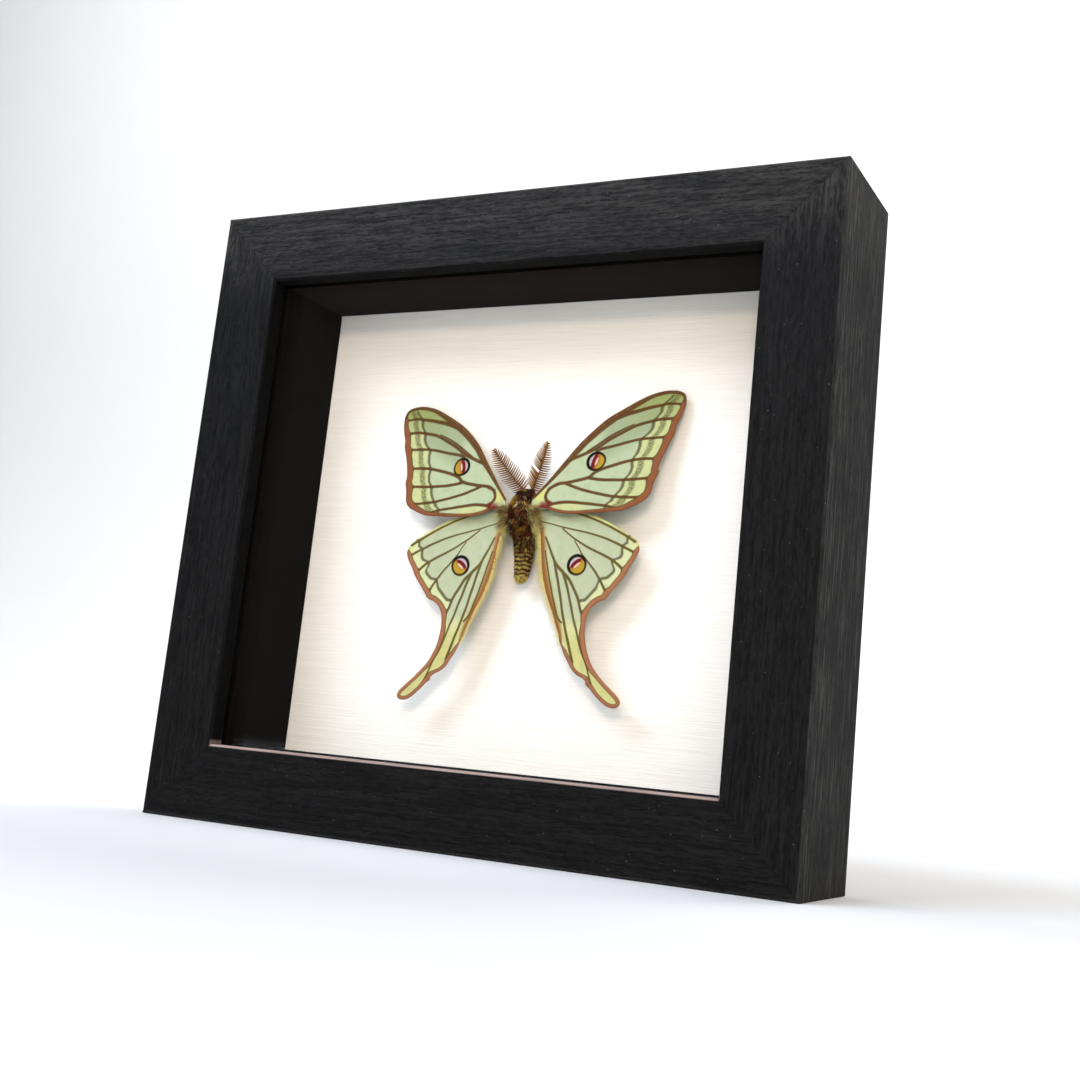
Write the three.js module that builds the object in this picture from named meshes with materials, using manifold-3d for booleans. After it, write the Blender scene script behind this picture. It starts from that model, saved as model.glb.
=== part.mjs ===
// A framed moon moth: a deep black box frame, glazed, with a spread moth pinned in front of white card.
// Millimetres, +Z up, front towards -Y. The origin is the middle of the frame's underside.
import * as THREE from "three";
import { mergeVertices } from "three/addons/utils/BufferGeometryUtils.js";
import Module from "manifold-3d";

const wasm = await Module();
wasm.setup();

// Driving dimensions of the box frame.
const FRAME_WIDTH = 180;
const FRAME_HEIGHT = 165;
const FRAME_DEPTH = 35;
const FACE_WIDTH = 19.5; // moulding face, from the outer edge to the sight edge
const WALL = 12.5; // moulding wall behind the lip
const LIP = 4.5; // thickness of the lip in front of the glass
const EASED_EDGE = 0.5; // chamfer on the moulding's long edges
const MITRE_GAP = 0.12; // open line left at each side of a mitre
const FIT_GAP = 0.2; // play between the pieces stacked in the rebate
const GLASS = 2;
const SPACER_DEPTH = 24.2; // keeps the glass off the moth
const CARD = 1;
const BOARD = 1.5;
const POINT = { width: 7, length: 12, thick: 0.4, corner: 1.5, along: 34 };
const HANGER = { width: 44, height: 9, thick: 0.8, teeth: 9, tooth: 2, hole: 0.9, nailAt: 18.5 };
const NAIL = { head: 1.9, dome: 0.9, shank: 0.6 };

// Driving dimensions of the moth. On it, u runs out to its right, v towards its head and h off the card.
const MOTH_PLACE = { x: 1.2, z: 85, turn: 2 }; // middle of the thorax, and degrees anticlockwise
const WING_THICK = 0.35;
const FOREWING_PLANE = { h: 10.16, perU: -0.045, perV: -0.2 };
const HINDWING_PLANE = { h: 7, perU: 0, perV: -0.05 };
const BODY_SHIFT = 0.3; // the body lies this far right of the middle between the wings
const ANTENNA = { base: [1.45, 7.75, 5.1], out: 8, tipH: 11.2, shaft: 0.26, teeth: 20 };
const ANTENNA_TIP_V = { left: 17.3, right: 18.5 };
const TOOTH = { radius: 0.17, longest: 2.75, lean: 62 };
const PIN = { v: 1.5, radius: 0.25, bore: 0.55, top: 7.5 };
const LEG = { radius: 0.42, sides: 6, steps: 6 };
const LOCK = { radius: 0.52, length: 1.9, sides: 5, sunk: 0.45 };

// The rebate's stack, as depths behind the front face.
const GLASS_AT = LIP + FIT_GAP;
const SPACER_AT = GLASS_AT + GLASS + FIT_GAP;
const CARD_AT = SPACER_AT + SPACER_DEPTH + FIT_GAP;
const BOARD_AT = CARD_AT + CARD + FIT_GAP;
const POINT_AT = BOARD_AT + BOARD + FIT_GAP;
const PANE_WIDTH = FRAME_WIDTH - 2 * (WALL + FIT_GAP);
const PANE_HEIGHT = FRAME_HEIGHT - 2 * (WALL + FIT_GAP);
const MID_HEIGHT = FRAME_HEIGHT / 2;
const FRONT = -FRAME_DEPTH / 2;
const BACK = FRAME_DEPTH / 2;

// Outlines of the moth's right wings, as (u, v).
const FOREWING_COSTA = [
  [3.9, 4.4], [8.2, 10], [11.8, 15], [15.5, 20.1], [20.6, 25.1], [24.3, 27.7], [28.6, 30.2], [32, 31.9],
  [35.2, 32.8], [38, 33.1], [40.6, 32.7], [42, 31.7], [42.5, 30.1],
];
const FOREWING_EDGE = [
  [42.5, 30.1], [42.3, 28], [41.6, 25.4], [40.7, 23], [40.4, 20.9], [39.2, 18], [38, 14.5], [37.4, 11.9],
  [37.5, 10.5], [36.7, 7.8], [36.4, 5.7], [35.6, 4], [34.3, 2.9], [32.5, 2.1], [30.4, 1.2], [28.1, 0.6],
  [24, 0.3], [20, 0.1], [16.3, 0], [13, 0.2], [10, 0.9], [7.9, 1.6], [3.9, 2.2],
];
const HINDWING_EDGE = [
  [4, -1], [6.6, 0.9], [10, 1.7], [14, 1.2], [18, 0.1], [22, -1], [26, -2.9], [30.3, -5.3], [32.7, -6.6],
  [33.9, -7.9], [34.2, -9.3], [33.5, -11.1], [31.9, -13.6], [30.8, -15.6], [29, -17.8], [27.3, -19.9],
  [25.9, -21.6], [24, -22.4], [22.4, -23.7], [21.4, -25.5], [21, -28], [21.1, -31], [21.8, -34],
  [23.3, -37.4], [25, -39.7], [27, -41.8], [29, -43.6], [31, -45.3], [32.1, -46.7], [32, -47.8],
  [30.9, -48.4], [29, -48.2], [27, -47], [25.2, -45.4], [23.6, -43.8], [22.6, -43], [22.5, -42.2],
  [21.5, -41.4], [19.8, -40.6], [18.2, -39.2], [17, -37.4], [15.6, -35.2], [14.6, -33], [13.6, -30.6],
  [12.2, -27.2], [10.8, -24], [9.4, -21], [8.3, -18], [7.4, -15], [6.7, -11], [6.1, -7], [5.6, -4.2],
];

// The moth's body from head to tail: v, height of its middle, and radius.
const BODY_RINGS = [
  [7.7, 6.2, 1.1], [6.5, 6.4, 1.75], [5.1, 6.9, 2.05], [3.7, 7.2, 3], [1.5, 7.4, 3.6], [-1, 7.1, 3.4],
  [-3.2, 6.4, 2.8], [-5, 5.7, 2.5], [-7.5, 5, 2.45], [-10, 4.6, 2.3], [-13, 4.5, 2.1], [-15.5, 4.6, 1.7],
  [-16.9, 4.7, 1.1],
];
const BODY_ENDS = { head: [8.1, 6.2], tail: [-17.6, 4.75] };
const BODY_SIDES = 18;
const BODY_STEPS = 40;
const ABDOMEN = { from: -4.5, segment: 1.85, ripple: 0.07 };

const wood = new THREE.MeshStandardMaterial({ color: 0x1c1b1c, roughness: 0.6, metalness: 0 });
const liner = new THREE.MeshStandardMaterial({ color: 0x141213, roughness: 0.7, metalness: 0 });
const glass = new THREE.MeshStandardMaterial({
  color: 0xffffff,
  roughness: 0.02,
  metalness: 0,
  transparent: true,
  opacity: 0.15,
});
const paper = new THREE.MeshStandardMaterial({ color: 0xf4efea, roughness: 0.9, metalness: 0 });
const board = new THREE.MeshStandardMaterial({ color: 0x7a5c3e, roughness: 0.85, metalness: 0 });
const steel = new THREE.MeshStandardMaterial({ color: 0x9a9a98, roughness: 0.35, metalness: 1 });
const brass = new THREE.MeshStandardMaterial({ color: 0xb08d4a, roughness: 0.35, metalness: 1 });
const wing = new THREE.MeshStandardMaterial({ color: 0xc3d2b9, roughness: 0.8, metalness: 0 });
const fur = new THREE.MeshStandardMaterial({ color: 0x4a2a1c, roughness: 0.95, metalness: 0 });
const plume = new THREE.MeshStandardMaterial({ color: 0x8d7361, roughness: 0.85, metalness: 0 });

// Solids for joining and cutting.
function solidOf(geometry) {
  const bare = geometry.clone();
  bare.deleteAttribute("normal");
  bare.deleteAttribute("uv");
  const merged = mergeVertices(bare, 1e-4);
  const mesh = new wasm.Mesh({
    numProp: 3,
    vertProperties: merged.attributes.position.array,
    triVerts: new Uint32Array(merged.index.array),
  });
  return new wasm.Manifold(mesh);
}

function geometryOf(solid) {
  const mesh = solid.getMesh();
  const geometry = new THREE.BufferGeometry();
  geometry.setAttribute("position", new THREE.BufferAttribute(new Float32Array(mesh.vertProperties), 3));
  geometry.setIndex(new THREE.BufferAttribute(new Uint32Array(mesh.triVerts), 1));
  geometry.computeVertexNormals();
  return geometry;
}

function joined(geometries) {
  const solids = geometries.map(solidOf);
  return solids.reduce((whole, next) => whole.add(next));
}

function named(name, geometry, material) {
  const mesh = new THREE.Mesh(geometry, material);
  mesh.name = name;
  return mesh;
}

// The four sides of the frame, each as a turn about its depth from the bottom one.
const SIDES = [
  { side: "bottom", turn: 0, length: FRAME_WIDTH, reach: FRAME_HEIGHT / 2 },
  { side: "right", turn: -90, length: FRAME_HEIGHT, reach: FRAME_WIDTH / 2 },
  { side: "top", turn: 180, length: FRAME_WIDTH, reach: FRAME_HEIGHT / 2 },
  { side: "left", turn: 90, length: FRAME_HEIGHT, reach: FRAME_WIDTH / 2 },
];

// One mitred length of moulding, lying along X with its outer edge down at z = -reach.
function railGeometry(length, reach) {
  const e = EASED_EDGE;
  const section = new THREE.Shape();
  section.moveTo(e, 0);
  section.lineTo(FRAME_DEPTH - e, 0);
  section.lineTo(FRAME_DEPTH, e);
  section.lineTo(FRAME_DEPTH, WALL);
  section.lineTo(LIP, WALL);
  section.lineTo(LIP, FACE_WIDTH);
  section.lineTo(e, FACE_WIDTH);
  section.lineTo(0, FACE_WIDTH - e);
  section.lineTo(0, e);
  section.closePath();
  const geometry = new THREE.ExtrudeGeometry(section, { depth: length, bevelEnabled: false });
  const depth = new THREE.Vector3(0, 1, 0);
  const inward = new THREE.Vector3(0, 0, 1);
  const along = new THREE.Vector3(1, 0, 0);
  geometry.applyMatrix4(new THREE.Matrix4().makeBasis(depth, inward, along));
  geometry.translate(-length / 2, FRONT, -reach);
  const place = geometry.attributes.position;
  for (let i = 0; i < place.count; i++) {
    const half = length / 2 - (place.getZ(i) + reach) - MITRE_GAP;
    place.setX(i, Math.sign(place.getX(i)) * half);
  }
  return geometry;
}

function sideGroup(turn) {
  const group = new THREE.Group();
  group.position.z = MID_HEIGHT;
  group.rotation.y = THREE.MathUtils.degToRad(turn);
  return group;
}

function makeRails() {
  const rails = new THREE.Group();
  for (const { side, turn, length, reach } of SIDES) {
    const group = sideGroup(turn);
    group.add(named(`rail_${side}`, railGeometry(length, reach), wood));
    rails.add(group);
  }
  return rails;
}

// Four liner strips behind the glass. The upright ones stand between the level ones.
function makeSpacers() {
  const thick = FACE_WIDTH - WALL - FIT_GAP;
  const spacers = new THREE.Group();
  for (const { side, turn, reach } of SIDES) {
    const level = side === "top" || side === "bottom";
    const length = level ? PANE_WIDTH : PANE_HEIGHT - 2 * (thick + FIT_GAP);
    const strip = named(`spacer_${side}`, new THREE.BoxGeometry(length, SPACER_DEPTH, thick), liner);
    strip.position.set(0, FRONT + SPACER_AT + SPACER_DEPTH / 2, -reach + WALL + FIT_GAP + thick / 2);
    const group = sideGroup(turn);
    group.add(strip);
    spacers.add(group);
  }
  return spacers;
}

function makePane(name, at, thick, material) {
  const pane = named(name, new THREE.BoxGeometry(PANE_WIDTH, thick, PANE_HEIGHT), material);
  pane.position.set(0, FRONT + at + thick / 2, MID_HEIGHT);
  return pane;
}

// Flat steel points that hold the backing board in the rebate, two on each side.
function makePoints() {
  const points = new THREE.Group();
  const half = POINT.width / 2;
  const r = POINT.corner;
  const shape = new THREE.Shape();
  shape.moveTo(-half, 0);
  shape.lineTo(half, 0);
  shape.lineTo(half - r / 2, POINT.length - r);
  shape.quadraticCurveTo(half - r / 2, POINT.length, 0, POINT.length);
  shape.quadraticCurveTo(-half + r / 2, POINT.length, -half + r / 2, POINT.length - r);
  shape.closePath();
  for (const { side, turn, reach } of SIDES) {
    const group = sideGroup(turn);
    for (const end of [1, 2]) {
      const flat = new THREE.ExtrudeGeometry(shape, {
        depth: POINT.thick,
        bevelEnabled: false,
        curveSegments: 5,
      });
      const point = named(`point_${side}_${end}`, flat, steel);
      point.rotation.x = Math.PI / 2;
      const along = end === 1 ? -POINT.along : POINT.along;
      point.position.set(along, FRONT + POINT_AT + POINT.thick, -reach + WALL + FIT_GAP);
      group.add(point);
    }
    points.add(group);
  }
  return points;
}

// A sawtooth hanger on the back of the top rail, with its two round-headed nails.
function makeHanger() {
  const { width, height, thick, teeth, tooth, hole, nailAt } = HANGER;
  const hanger = new THREE.Group();
  hanger.position.set(0, BACK, FRAME_HEIGHT - WALL / 2);
  const plate = new THREE.Shape();
  const pitch = (2 * (nailAt - height / 2)) / teeth;
  plate.moveTo(-width / 2, height / 2);
  plate.lineTo(-width / 2, -height / 2);
  for (let i = 0; i < teeth; i++) {
    const start = -nailAt + height / 2 + i * pitch;
    plate.lineTo(start, -height / 2);
    plate.lineTo(start + pitch / 2, -height / 2 + tooth);
  }
  plate.lineTo(nailAt - height / 2, -height / 2);
  plate.lineTo(width / 2, -height / 2);
  plate.lineTo(width / 2, height / 2);
  plate.closePath();
  for (const side of [-1, 1]) {
    plate.holes.push(new THREE.Path().absarc(side * nailAt, 0, hole, 0, 2 * Math.PI));
  }
  const flat = new THREE.ExtrudeGeometry(plate, { depth: thick, bevelEnabled: false, curveSegments: 4 });
  const sheet = named("hanger", flat, brass);
  sheet.rotation.x = Math.PI / 2;
  sheet.position.y = FIT_GAP + thick;
  hanger.add(sheet);
  const { head, dome, shank } = NAIL;
  const foot = FIT_GAP;
  const seat = 2 * FIT_GAP + thick;
  const profile = [[0, foot], [shank, foot], [shank, seat], [head, seat]];
  profile.push([0.95 * head, seat + 0.45 * dome], [0.6 * head, seat + 0.85 * dome], [0, seat + dome]);
  const turned = new THREE.LatheGeometry(profile.map(([r, y]) => new THREE.Vector2(r, y)), 12);
  for (const [name, side] of [["nail_left", -1], ["nail_right", 1]]) {
    const nail = named(name, turned, brass);
    nail.position.x = side * nailAt;
    hanger.add(nail);
  }
  return hanger;
}

// The group that the moth lies in: u along X, v along Y and h along Z, stood up against the card.
function mothGroup() {
  const moth = new THREE.Group();
  moth.position.set(MOTH_PLACE.x, FRONT + CARD_AT, MOTH_PLACE.z);
  moth.rotation.set(Math.PI / 2, 0, THREE.MathUtils.degToRad(MOTH_PLACE.turn));
  moth.updateMatrixWorld(true);
  return moth;
}

// A wing as a thin plate: a smooth outline in (u, v), lifted to its own sloping plane.
function wingGeometry(stretches, plane, side) {
  const shape = new THREE.Shape();
  const [rootU, rootV] = stretches[0][0];
  shape.moveTo(side * rootU, rootV);
  for (const stretch of stretches) {
    shape.splineThru(stretch.slice(1).map(([u, v]) => new THREE.Vector2(side * u, v)));
  }
  shape.closePath();
  const options = { depth: WING_THICK, bevelEnabled: false, curveSegments: 2 };
  const plate = new THREE.ExtrudeGeometry(shape, options);
  const lift = new THREE.Matrix4().set(
    1, 0, 0, 0,
    0, 1, 0, 0,
    side * plane.perU, plane.perV, 1, plane.h,
    0, 0, 0, 1,
  );
  return plate.applyMatrix4(lift);
}

function makeWings() {
  const wings = new THREE.Group();
  for (const [hand, side] of [["left", -1], ["right", 1]]) {
    const fore = wingGeometry([FOREWING_COSTA, FOREWING_EDGE], FOREWING_PLANE, side);
    const hind = wingGeometry([HINDWING_EDGE], HINDWING_PLANE, side);
    wings.add(named(`forewing_${hand}`, fore, wing), named(`hindwing_${hand}`, hind, wing));
  }
  return wings;
}

// Height of the body's middle and its radius at v, from the ring table.
function bodyAt(v) {
  const after = BODY_RINGS.findIndex(([ringV]) => ringV <= v);
  const i = THREE.MathUtils.clamp(after, 1, BODY_RINGS.length - 1);
  const [v0, h0, r0] = BODY_RINGS[i - 1];
  const [v1, h1, r1] = BODY_RINGS[i];
  const t = THREE.MathUtils.clamp((v - v0) / (v1 - v0), 0, 1);
  const ease = t * t * (3 - 2 * t);
  const ringed = v < ABDOMEN.from ? Math.sin((Math.PI * (ABDOMEN.from - v)) / ABDOMEN.segment) : 0;
  const ripple = 1 + ABDOMEN.ripple * Math.abs(ringed);
  return { h: THREE.MathUtils.lerp(h0, h1, t), r: THREE.MathUtils.lerp(r0, r1, ease) * ripple };
}

// Head, thorax and abdomen as one closed skin of rings between two end points.
function trunkGeometry() {
  const first = BODY_RINGS[0][0];
  const last = BODY_RINGS[BODY_RINGS.length - 1][0];
  const [headV, headH] = BODY_ENDS.head;
  const [tailV, tailH] = BODY_ENDS.tail;
  const points = [0, headV, headH];
  for (let i = 0; i <= BODY_STEPS; i++) {
    const v = THREE.MathUtils.lerp(first, last, i / BODY_STEPS);
    const { h, r } = bodyAt(v);
    for (let k = 0; k < BODY_SIDES; k++) {
      const a = (2 * Math.PI * k) / BODY_SIDES;
      points.push(r * Math.cos(a), v, h + r * Math.sin(a));
    }
  }
  points.push(0, tailV, tailH);
  const end = points.length / 3 - 1;
  const at = (ring, k) => 1 + ring * BODY_SIDES + (k % BODY_SIDES);
  const faces = [];
  for (let k = 0; k < BODY_SIDES; k++) {
    faces.push(0, at(0, k + 1), at(0, k));
    for (let ring = 0; ring < BODY_STEPS; ring++) {
      faces.push(at(ring, k), at(ring, k + 1), at(ring + 1, k));
      faces.push(at(ring, k + 1), at(ring + 1, k + 1), at(ring + 1, k));
    }
    faces.push(at(BODY_STEPS, k), at(BODY_STEPS, k + 1), end);
  }
  const geometry = new THREE.BufferGeometry();
  geometry.setAttribute("position", new THREE.Float32BufferAttribute(points, 3));
  geometry.setIndex(faces);
  return geometry;
}

// A tapered spike from one point to another.
function spikeGeometry(from, to, radius, sides) {
  const start = new THREE.Vector3(...from);
  const run = new THREE.Vector3(...to).sub(start);
  const spike = new THREE.ConeGeometry(radius, run.length(), sides);
  spike.translate(0, run.length() / 2, 0);
  const turn = new THREE.Quaternion().setFromUnitVectors(new THREE.Vector3(0, 1, 0), run.normalize());
  spike.applyQuaternion(turn);
  return spike.translate(start.x, start.y, start.z);
}

// Locks of fur swept back over the thorax and abdomen, in staggered rows.
function lockGeometries() {
  const locks = [];
  const rows = [4.6, 2.9, 1.2, -0.6, -2.4, -4.4, -6.6, -8.8, -11, -13.2, -15.2];
  rows.forEach((v, row) => {
    const { h, r } = bodyAt(v);
    const count = row % 2 ? 5 : 6;
    for (let i = 0; i < count; i++) {
      const angle = THREE.MathUtils.degToRad(38 + (104 * (i + 0.5)) / count);
      const out = [Math.cos(angle), Math.sin(angle)];
      const sunk = r - LOCK.sunk;
      const from = [sunk * out[0], v, h + sunk * out[1]];
      const proud = r + 0.45;
      const to = [proud * out[0], v - LOCK.length, h + proud * out[1] - (v < ABDOMEN.from ? 0 : 0.3)];
      locks.push(spikeGeometry(from, to, LOCK.radius, LOCK.sides));
    }
  });
  return locks;
}

// Six legs folded under the thorax.
function legGeometries() {
  const section = new THREE.Shape().absarc(0, 0, LEG.radius, 0, 2 * Math.PI);
  const legs = [];
  for (const side of [-1, 1]) {
    for (const [v, sweep] of [[3.6, 1.4], [1.2, 0.4], [-1.2, -1.2]]) {
      const path = new THREE.CatmullRomCurve3([
        new THREE.Vector3(side * 1.2, v, 5),
        new THREE.Vector3(side * 2.1, v + 0.5 * sweep, 3.4),
        new THREE.Vector3(side * 2.2, v + sweep, 2.2),
        new THREE.Vector3(side * 1.4, v + 1.8 * sweep, 1.2),
      ]);
      const options = {
        steps: LEG.steps,
        extrudePath: path,
        bevelEnabled: false,
        curveSegments: LEG.sides / 2,
      };
      legs.push(new THREE.ExtrudeGeometry(section, options));
    }
  }
  return legs;
}

function makeBody() {
  const bore = new THREE.CylinderGeometry(PIN.bore, PIN.bore, PIN.top + 1, 10);
  bore.rotateX(Math.PI / 2);
  bore.translate(0, PIN.v, (PIN.top + 1) / 2 - 0.5);
  const eyes = [-1, 1].map((side) => new THREE.SphereGeometry(0.8, 10, 6).translate(side * 1.35, 6.6, 6.4));
  const parts = [trunkGeometry(), ...eyes, ...lockGeometries(), ...legGeometries()];
  const body = named("body", geometryOf(joined(parts).subtract(solidOf(bore))), fur);
  body.position.x = BODY_SHIFT;
  return body;
}

// A feathered antenna: a tapered shaft with a comb of teeth down both sides, shaped like a leaf.
function makeAntenna(hand) {
  const side = hand === "left" ? -1 : 1;
  const [baseU, baseV, baseH] = ANTENNA.base;
  const base = new THREE.Vector3(BODY_SHIFT + side * baseU, baseV, baseH);
  const run = new THREE.Vector3(BODY_SHIFT + side * ANTENNA.out, ANTENNA_TIP_V[hand], ANTENNA.tipH).sub(base);
  const forward = run.clone().normalize();
  const across = new THREE.Vector3().crossVectors(forward, new THREE.Vector3(0, 0, 1)).normalize();
  const lean = THREE.MathUtils.degToRad(TOOTH.lean);
  const spikes = [spikeGeometry(base.toArray(), base.clone().add(run).toArray(), ANTENNA.shaft, 6)];
  for (let i = 0; i < ANTENNA.teeth; i++) {
    const t = 0.06 + (0.88 * i) / (ANTENNA.teeth - 1);
    const length = TOOTH.longest * Math.sin(Math.PI * Math.pow(t, 0.72)) ** 0.75 + 0.35;
    const root = base.clone().addScaledVector(run, t);
    for (const flank of [-1, 1]) {
      const reach = across.clone().multiplyScalar(flank * Math.sin(lean));
      reach.addScaledVector(forward, Math.cos(lean));
      const tip = root.clone().addScaledVector(reach, length);
      spikes.push(spikeGeometry(root.toArray(), tip.toArray(), TOOTH.radius, 4));
    }
  }
  return named(`antenna_${hand}`, geometryOf(joined(spikes)), plume);
}

// The pin's shaft, from its seat in the card up into the thorax.
function pinGeometry() {
  const foot = -0.7 * CARD;
  const shaft = new THREE.CylinderGeometry(PIN.radius, PIN.radius, PIN.top - foot, 10);
  shaft.rotateX(Math.PI / 2);
  return shaft.translate(BODY_SHIFT, PIN.v, (PIN.top + foot) / 2);
}

// The card, with the hole that the pin makes in it.
function makeCard(moth) {
  const card = makePane("card", CARD_AT, CARD, paper);
  const hole = new THREE.CylinderGeometry(PIN.bore, PIN.bore, 4 * CARD, 10);
  hole.rotateX(Math.PI / 2).translate(BODY_SHIFT, PIN.v, 0).applyMatrix4(moth.matrixWorld);
  const sheet = card.geometry.translate(...card.position);
  card.geometry = geometryOf(solidOf(sheet).subtract(solidOf(hole)));
  card.position.set(0, 0, 0);
  return card;
}

const moth = mothGroup();
moth.add(makeBody(), makeWings(), makeAntenna("left"), makeAntenna("right"));
moth.add(named("pin", pinGeometry(), steel));

const framedMoth = new THREE.Group();
framedMoth.add(makeRails(), makeSpacers(), makePoints(), makeHanger());
framedMoth.add(makePane("glass", GLASS_AT, GLASS, glass), makePane("backing_board", BOARD_AT, BOARD, board));
framedMoth.add(makeCard(moth), moth);

export default framedMoth;
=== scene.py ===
"""Looks of a framed moon moth: finishes of the box frame, the moth itself, its light and its camera."""
import math

import bpy
import numpy as np
from bpy.props import FloatProperty, FloatVectorProperty, IntProperty, PointerProperty
from mathutils import Matrix, Vector
from mathutils.geometry import delaunay_2d_cdt


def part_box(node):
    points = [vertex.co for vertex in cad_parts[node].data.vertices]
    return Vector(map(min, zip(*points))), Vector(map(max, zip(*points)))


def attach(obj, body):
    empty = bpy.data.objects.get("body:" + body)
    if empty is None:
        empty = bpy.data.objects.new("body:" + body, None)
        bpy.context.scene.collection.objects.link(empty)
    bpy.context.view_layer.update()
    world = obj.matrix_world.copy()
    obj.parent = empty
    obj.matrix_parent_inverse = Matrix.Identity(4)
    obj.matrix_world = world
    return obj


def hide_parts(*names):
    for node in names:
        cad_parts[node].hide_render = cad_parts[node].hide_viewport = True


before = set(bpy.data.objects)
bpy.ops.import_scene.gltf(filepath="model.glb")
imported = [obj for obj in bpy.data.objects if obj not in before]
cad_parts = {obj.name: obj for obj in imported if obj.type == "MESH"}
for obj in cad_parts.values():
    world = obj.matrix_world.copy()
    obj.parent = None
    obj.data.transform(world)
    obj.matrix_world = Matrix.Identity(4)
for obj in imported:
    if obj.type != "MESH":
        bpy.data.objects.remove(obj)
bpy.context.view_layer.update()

bl_info = {
    "name": "Framed Moon Moth",
    "version": (1, 0, 0),
    "blender": (4, 5, 0),
    "location": "3D View > Sidebar > Moth",
    "description": "Finishes a packed box frame and builds the spread moth in it, with its light and camera",
    "category": "Object",
}

MM = 0.001
SIDES = ("bottom", "right", "top", "left")
HANDS = {"left": -1, "right": 1}
MITRES = (("bottom_left", -1, -1), ("bottom_right", 1, -1), ("top_right", 1, 1), ("top_left", -1, 1))

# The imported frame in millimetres.
FRAME_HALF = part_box("rail_right")[1].x / MM
FRAME_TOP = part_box("rail_top")[1].z / MM
FRAME_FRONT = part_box("rail_bottom")[0].y / MM
OPENING_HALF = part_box("rail_right")[0].x / MM
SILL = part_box("rail_bottom")[1].z / MM
CARD_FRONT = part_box("card")[0].y / MM

# Where the moth lies on the card: its middle, its turn, and how far its body is off that middle.
MOTH_X, MOTH_Z, MOTH_TURN = 1.2, 85.0, math.radians(2)
BODY_SHIFT = 0.3

# Right forewing in millimetres, as (u out from the body, v towards the head).
FORE_COSTA = (
    (3.9, 4.4), (8.2, 10), (11.8, 15), (15.5, 20.1), (20.6, 25.1), (24.3, 27.7), (28.6, 30.2), (32, 31.9),
    (35.2, 32.8), (38, 33.1), (40.6, 32.7), (42, 31.7), (42.5, 30.1),
)
FORE_OUTER = (
    (42.5, 30.1), (42.3, 28), (41.6, 25.4), (40.7, 23), (40.4, 20.9), (39.2, 18), (38, 14.5), (37.4, 11.9),
    (37.5, 10.5), (36.7, 7.8), (36.4, 5.7), (35.6, 4), (34.3, 2.9),
)
FORE_HIND = (
    (34.3, 2.9), (32.5, 2.1), (30.4, 1.2), (28.1, 0.6), (24, 0.3), (20, 0.1), (16.3, 0), (13, 0.2), (10, 0.9),
    (7.9, 1.6), (3.9, 2.2),
)
# Each vein: half its width at the root and at the far end, and its path.
FORE_VEINS = (
    (0.62, 0.30, ((24.3, 26.1), (27, 27.1), (30, 27.9), (33, 28.6), (36, 29.1), (38, 29.4), (41.4, 29.1))),
    (0.44, 0.40, ((12.2, 14.4), (15.2, 15.7), (18.3, 17.1), (20, 18), (23, 20.1), (26, 21.8), (30, 23.8),
                  (34, 24.8), (37, 25.2), (40.6, 25.1))),
    (0.40, 0.34, ((19.8, 17.1), (22, 17.8), (25, 18.4), (30, 19.6), (33.5, 20), (38.6, 20.2))),
    (0.46, 0.36, ((19, 9.9), (20.3, 11.2), (22.6, 12.2), (26, 13.2), (30, 14.1), (33, 14.4), (36.5, 14.4))),
    (0.42, 0.44, ((8, 6.8), (9.2, 7.6), (10.5, 8.2), (13.5, 8.6), (17, 9.3), (19, 9.9))),
    (0.42, 0.36, ((18.5, 9.7), (22, 9.1), (26, 8.9), (30, 8.9), (35.5, 9.2))),
    (0.38, 0.36, ((12.5, 8.3), (15, 7.3), (18, 6.3), (22, 5.3), (26, 4.5), (30, 4.2), (34, 4.1))),
    (0.40, 0.44, ((10.5, 8.1), (8.4, 7), (7.5, 5.2), (8, 3.7), (9.3, 2.9))),
    (0.44, 0.34, ((8.7, 2.5), (11, 3), (14, 3.2), (18, 2.8), (22, 2.3), (25, 1.9), (27, 1.4))),
    (0.30, 0.16, ((17.2, 16.9), (20, 18.9), (23, 21), (26, 22.7), (29, 24.1))),
)
TOP_VEIN, UPPER_VEIN = FORE_VEINS[0][2], FORE_VEINS[1][2]
FORE_LINE = (
    (38.2, 31.6), (37, 29.5), (36.1, 28.2), (35.1, 25.8), (33.9, 23), (32.6, 20.6), (31.5, 19), (30.8, 16),
    (30.2, 13.5), (29.6, 10.5), (28.9, 8.8), (27.6, 6.3), (26.9, 4.4), (25.2, 2.7), (24.6, 1),
)
FORE_BAND = (
    (39.6, 31.4), (38.6, 29), (37.4, 25.6), (36.6, 23.5), (35.4, 20.8), (34.4, 19), (33.4, 15.5),
    (32.6, 13.6), (31.6, 10), (31, 8.5), (30, 5.4), (29.3, 3.9), (28, 2.6), (27, 1.6),
)
# An eyespot: its middle, its radius and its turn in degrees.
FORE_EYE = ((20, 14.2), 2.62, -14)
FORE_EDGES = (FORE_COSTA, FORE_OUTER, FORE_HIND)

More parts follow.
